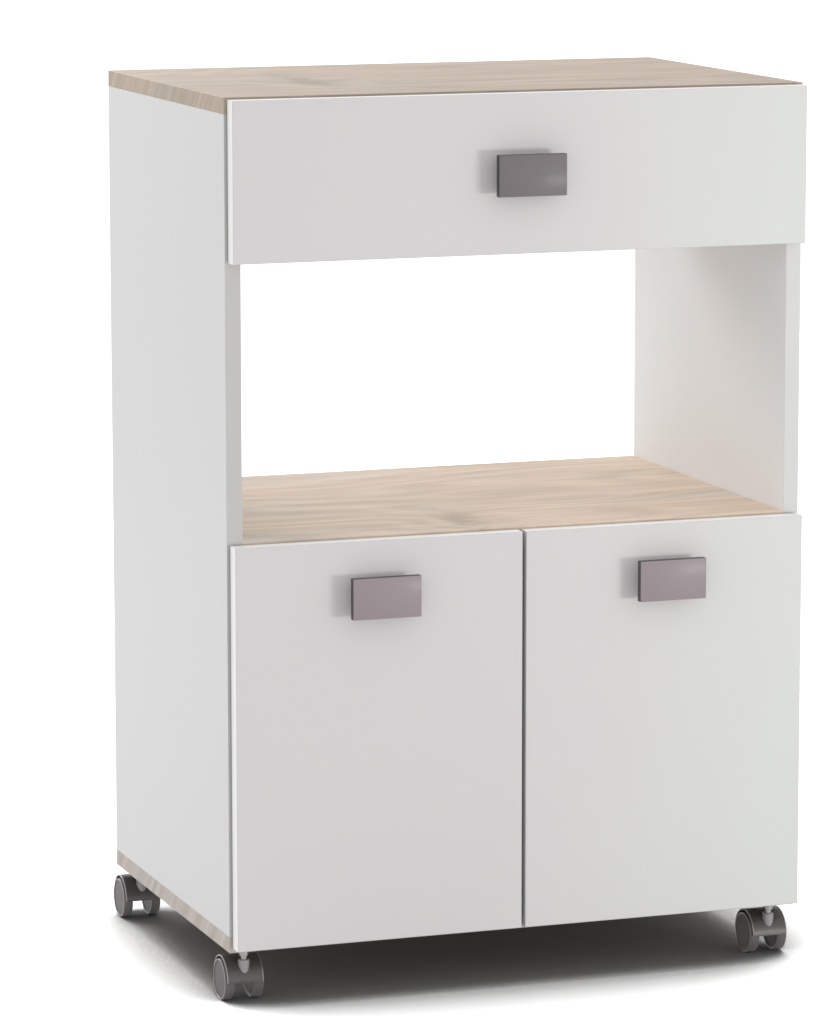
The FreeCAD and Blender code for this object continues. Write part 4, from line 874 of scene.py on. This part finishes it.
# %% Floor
FLOOR_HALF = 40.0           # metres
SHADOW_REACH = 0.30         # how far the cart darkens the paper
PAPER = 0.80
SHADOW = ((0.0, 0.112), (0.30, 0.112), (0.44, 0.125), (0.56, 0.46), (0.66, 0.88), (0.76, 1.0))
SHOWN_GAIN = 1.8            # lifts the open paper to plain white


def stage_floor():
    mesh = bpy.data.meshes.new("floor")
    shape = bmesh.new()
    bmesh.ops.create_grid(shape, x_segments=1, y_segments=1, size=FLOOR_HALF)
    shape.to_mesh(mesh)
    shape.free()
    floor = bpy.data.objects.new("floor", mesh)
    bpy.context.scene.collection.objects.link(floor)
    finish = Finish("floor_paper", (PAPER,) * 3, 0.9, specular=0.0)
    seen = finish.node("LightPath", output="Is Camera Ray")
    open_sky = finish.node("AmbientOcclusion", {"samples": 12}, {"Distance": SHADOW_REACH}, output="AO")
    shade = finish.ramp(open_sky, *((sky_seen, (level,) * 3) for sky_seen, level in SHADOW))
    grain = finish.noise(finish.place(), 60.0, 2.0)
    shown = finish.tint(shade, (SHOWN_GAIN, SHOWN_GAIN, SHOWN_GAIN, 1))
    finish.set("Base Color", finish.mix(seen, (PAPER, PAPER, PAPER, 1), shown))
    finish.set("Roughness", 0.85 + grain * 0.1)
    mesh.materials.append(finish.material)


stage_floor()
print("floor laid")

# %% [markdown]
# The sky is an even dome, which gives the flat, bright look of a catalogue picture.  It lights the cart at
# 0.86 and shows itself to the camera, and in reflections, as plain white.  A low lamp at the front right
# makes up the rest on the fronts and throws each handle's shadow to its left.  One behind the cart
# shines through the open niche on to its shelf.

# %% Lamps and sky
def lamp(name, place, target, size, power):
    data = bpy.data.lights.new(name, "AREA")
    data.shape = "RECTANGLE"
    data.size, data.size_y = size       # metres
    data.energy = power                 # watts
    made = bpy.data.objects.new(name, data)
    made.location = place
    made.rotation_euler = (Vector(target) - Vector(place)).to_track_quat("-Z", "Y").to_euler()
    bpy.context.scene.collection.objects.link(made)


lamp("front_lamp", (2.2, -3.4, 0.22), (0, 0, 0.45), (1.0, 0.4), 35)
lamp("niche_lamp", (-0.9, 2.6, 2.15), (0, 0, 0.46), (2.2, 1.0), 48)
world = bpy.data.worlds.new("sky")
bpy.context.scene.world = world
world.use_nodes = True
sky = world.node_tree.nodes["Background"]
sky.inputs["Color"].default_value = (1, 1, 1, 1)
SKY_LIGHT = 0.86
path = world.node_tree.nodes.new("ShaderNodeLightPath")
shown = path.outputs["Is Camera Ray"]
for kind in ("Is Glossy Ray", "Is Transmission Ray"):
    either = world.node_tree.nodes.new("ShaderNodeMath")
    either.operation = "MAXIMUM"
    world.node_tree.links.new(shown, either.inputs[0])
    world.node_tree.links.new(path.outputs[kind], either.inputs[1])
    shown = either.outputs[0]
level = world.node_tree.nodes.new("ShaderNodeMapRange")
level.inputs["To Min"].default_value = SKY_LIGHT
level.inputs["To Max"].default_value = 1.0
world.node_tree.links.new(shown, level.inputs["Value"])
world.node_tree.links.new(level.outputs["Result"], sky.inputs["Strength"])
print("lamps on")

# %% [markdown]
# ## The camera
# The camera stands five metres away, to the left and a little above, with a long lens, as in the
# photograph.  Its direction comes from a yaw, a pitch and a small roll, and the lens from a focal
# length in pixels.

# %% Camera
PICTURE = (836, 1024)
FOCAL_PIXELS = 4818.9
camera_data = bpy.data.cameras.new("camera")
camera_data.sensor_width = 36.0
camera_data.lens = FOCAL_PIXELS / max(PICTURE) * camera_data.sensor_width
camera_data.clip_end = 60.0
camera = bpy.data.objects.new("camera", camera_data)
CAM_YAW, CAM_PITCH, CAM_ROLL = 0.3401, 0.1601, -0.0007
look = Vector((math.sin(CAM_YAW) * math.cos(CAM_PITCH), math.cos(CAM_YAW) * math.cos(CAM_PITCH),
               -math.sin(CAM_PITCH)))
right = Vector((math.cos(CAM_YAW), -math.sin(CAM_YAW), 0))
up = right.cross(look)
turned_right = right * math.cos(CAM_ROLL) + up * math.sin(CAM_ROLL)
turned_up = up * math.cos(CAM_ROLL) - right * math.sin(CAM_ROLL)
axes = Matrix((turned_right, turned_up, -look)).transposed().to_4x4()
CAM_PLACE = Vector((-1.6530, -4.3761 - 0.18925, 1.1756 + 0.055))
camera.matrix_world = Matrix.Translation(CAM_PLACE) @ axes
bpy.context.scene.collection.objects.link(camera)
bpy.context.scene.camera = camera
bpy.context.scene.view_settings.view_transform = "Standard"
print("camera at", [round(v, 3) for v in CAM_PLACE])
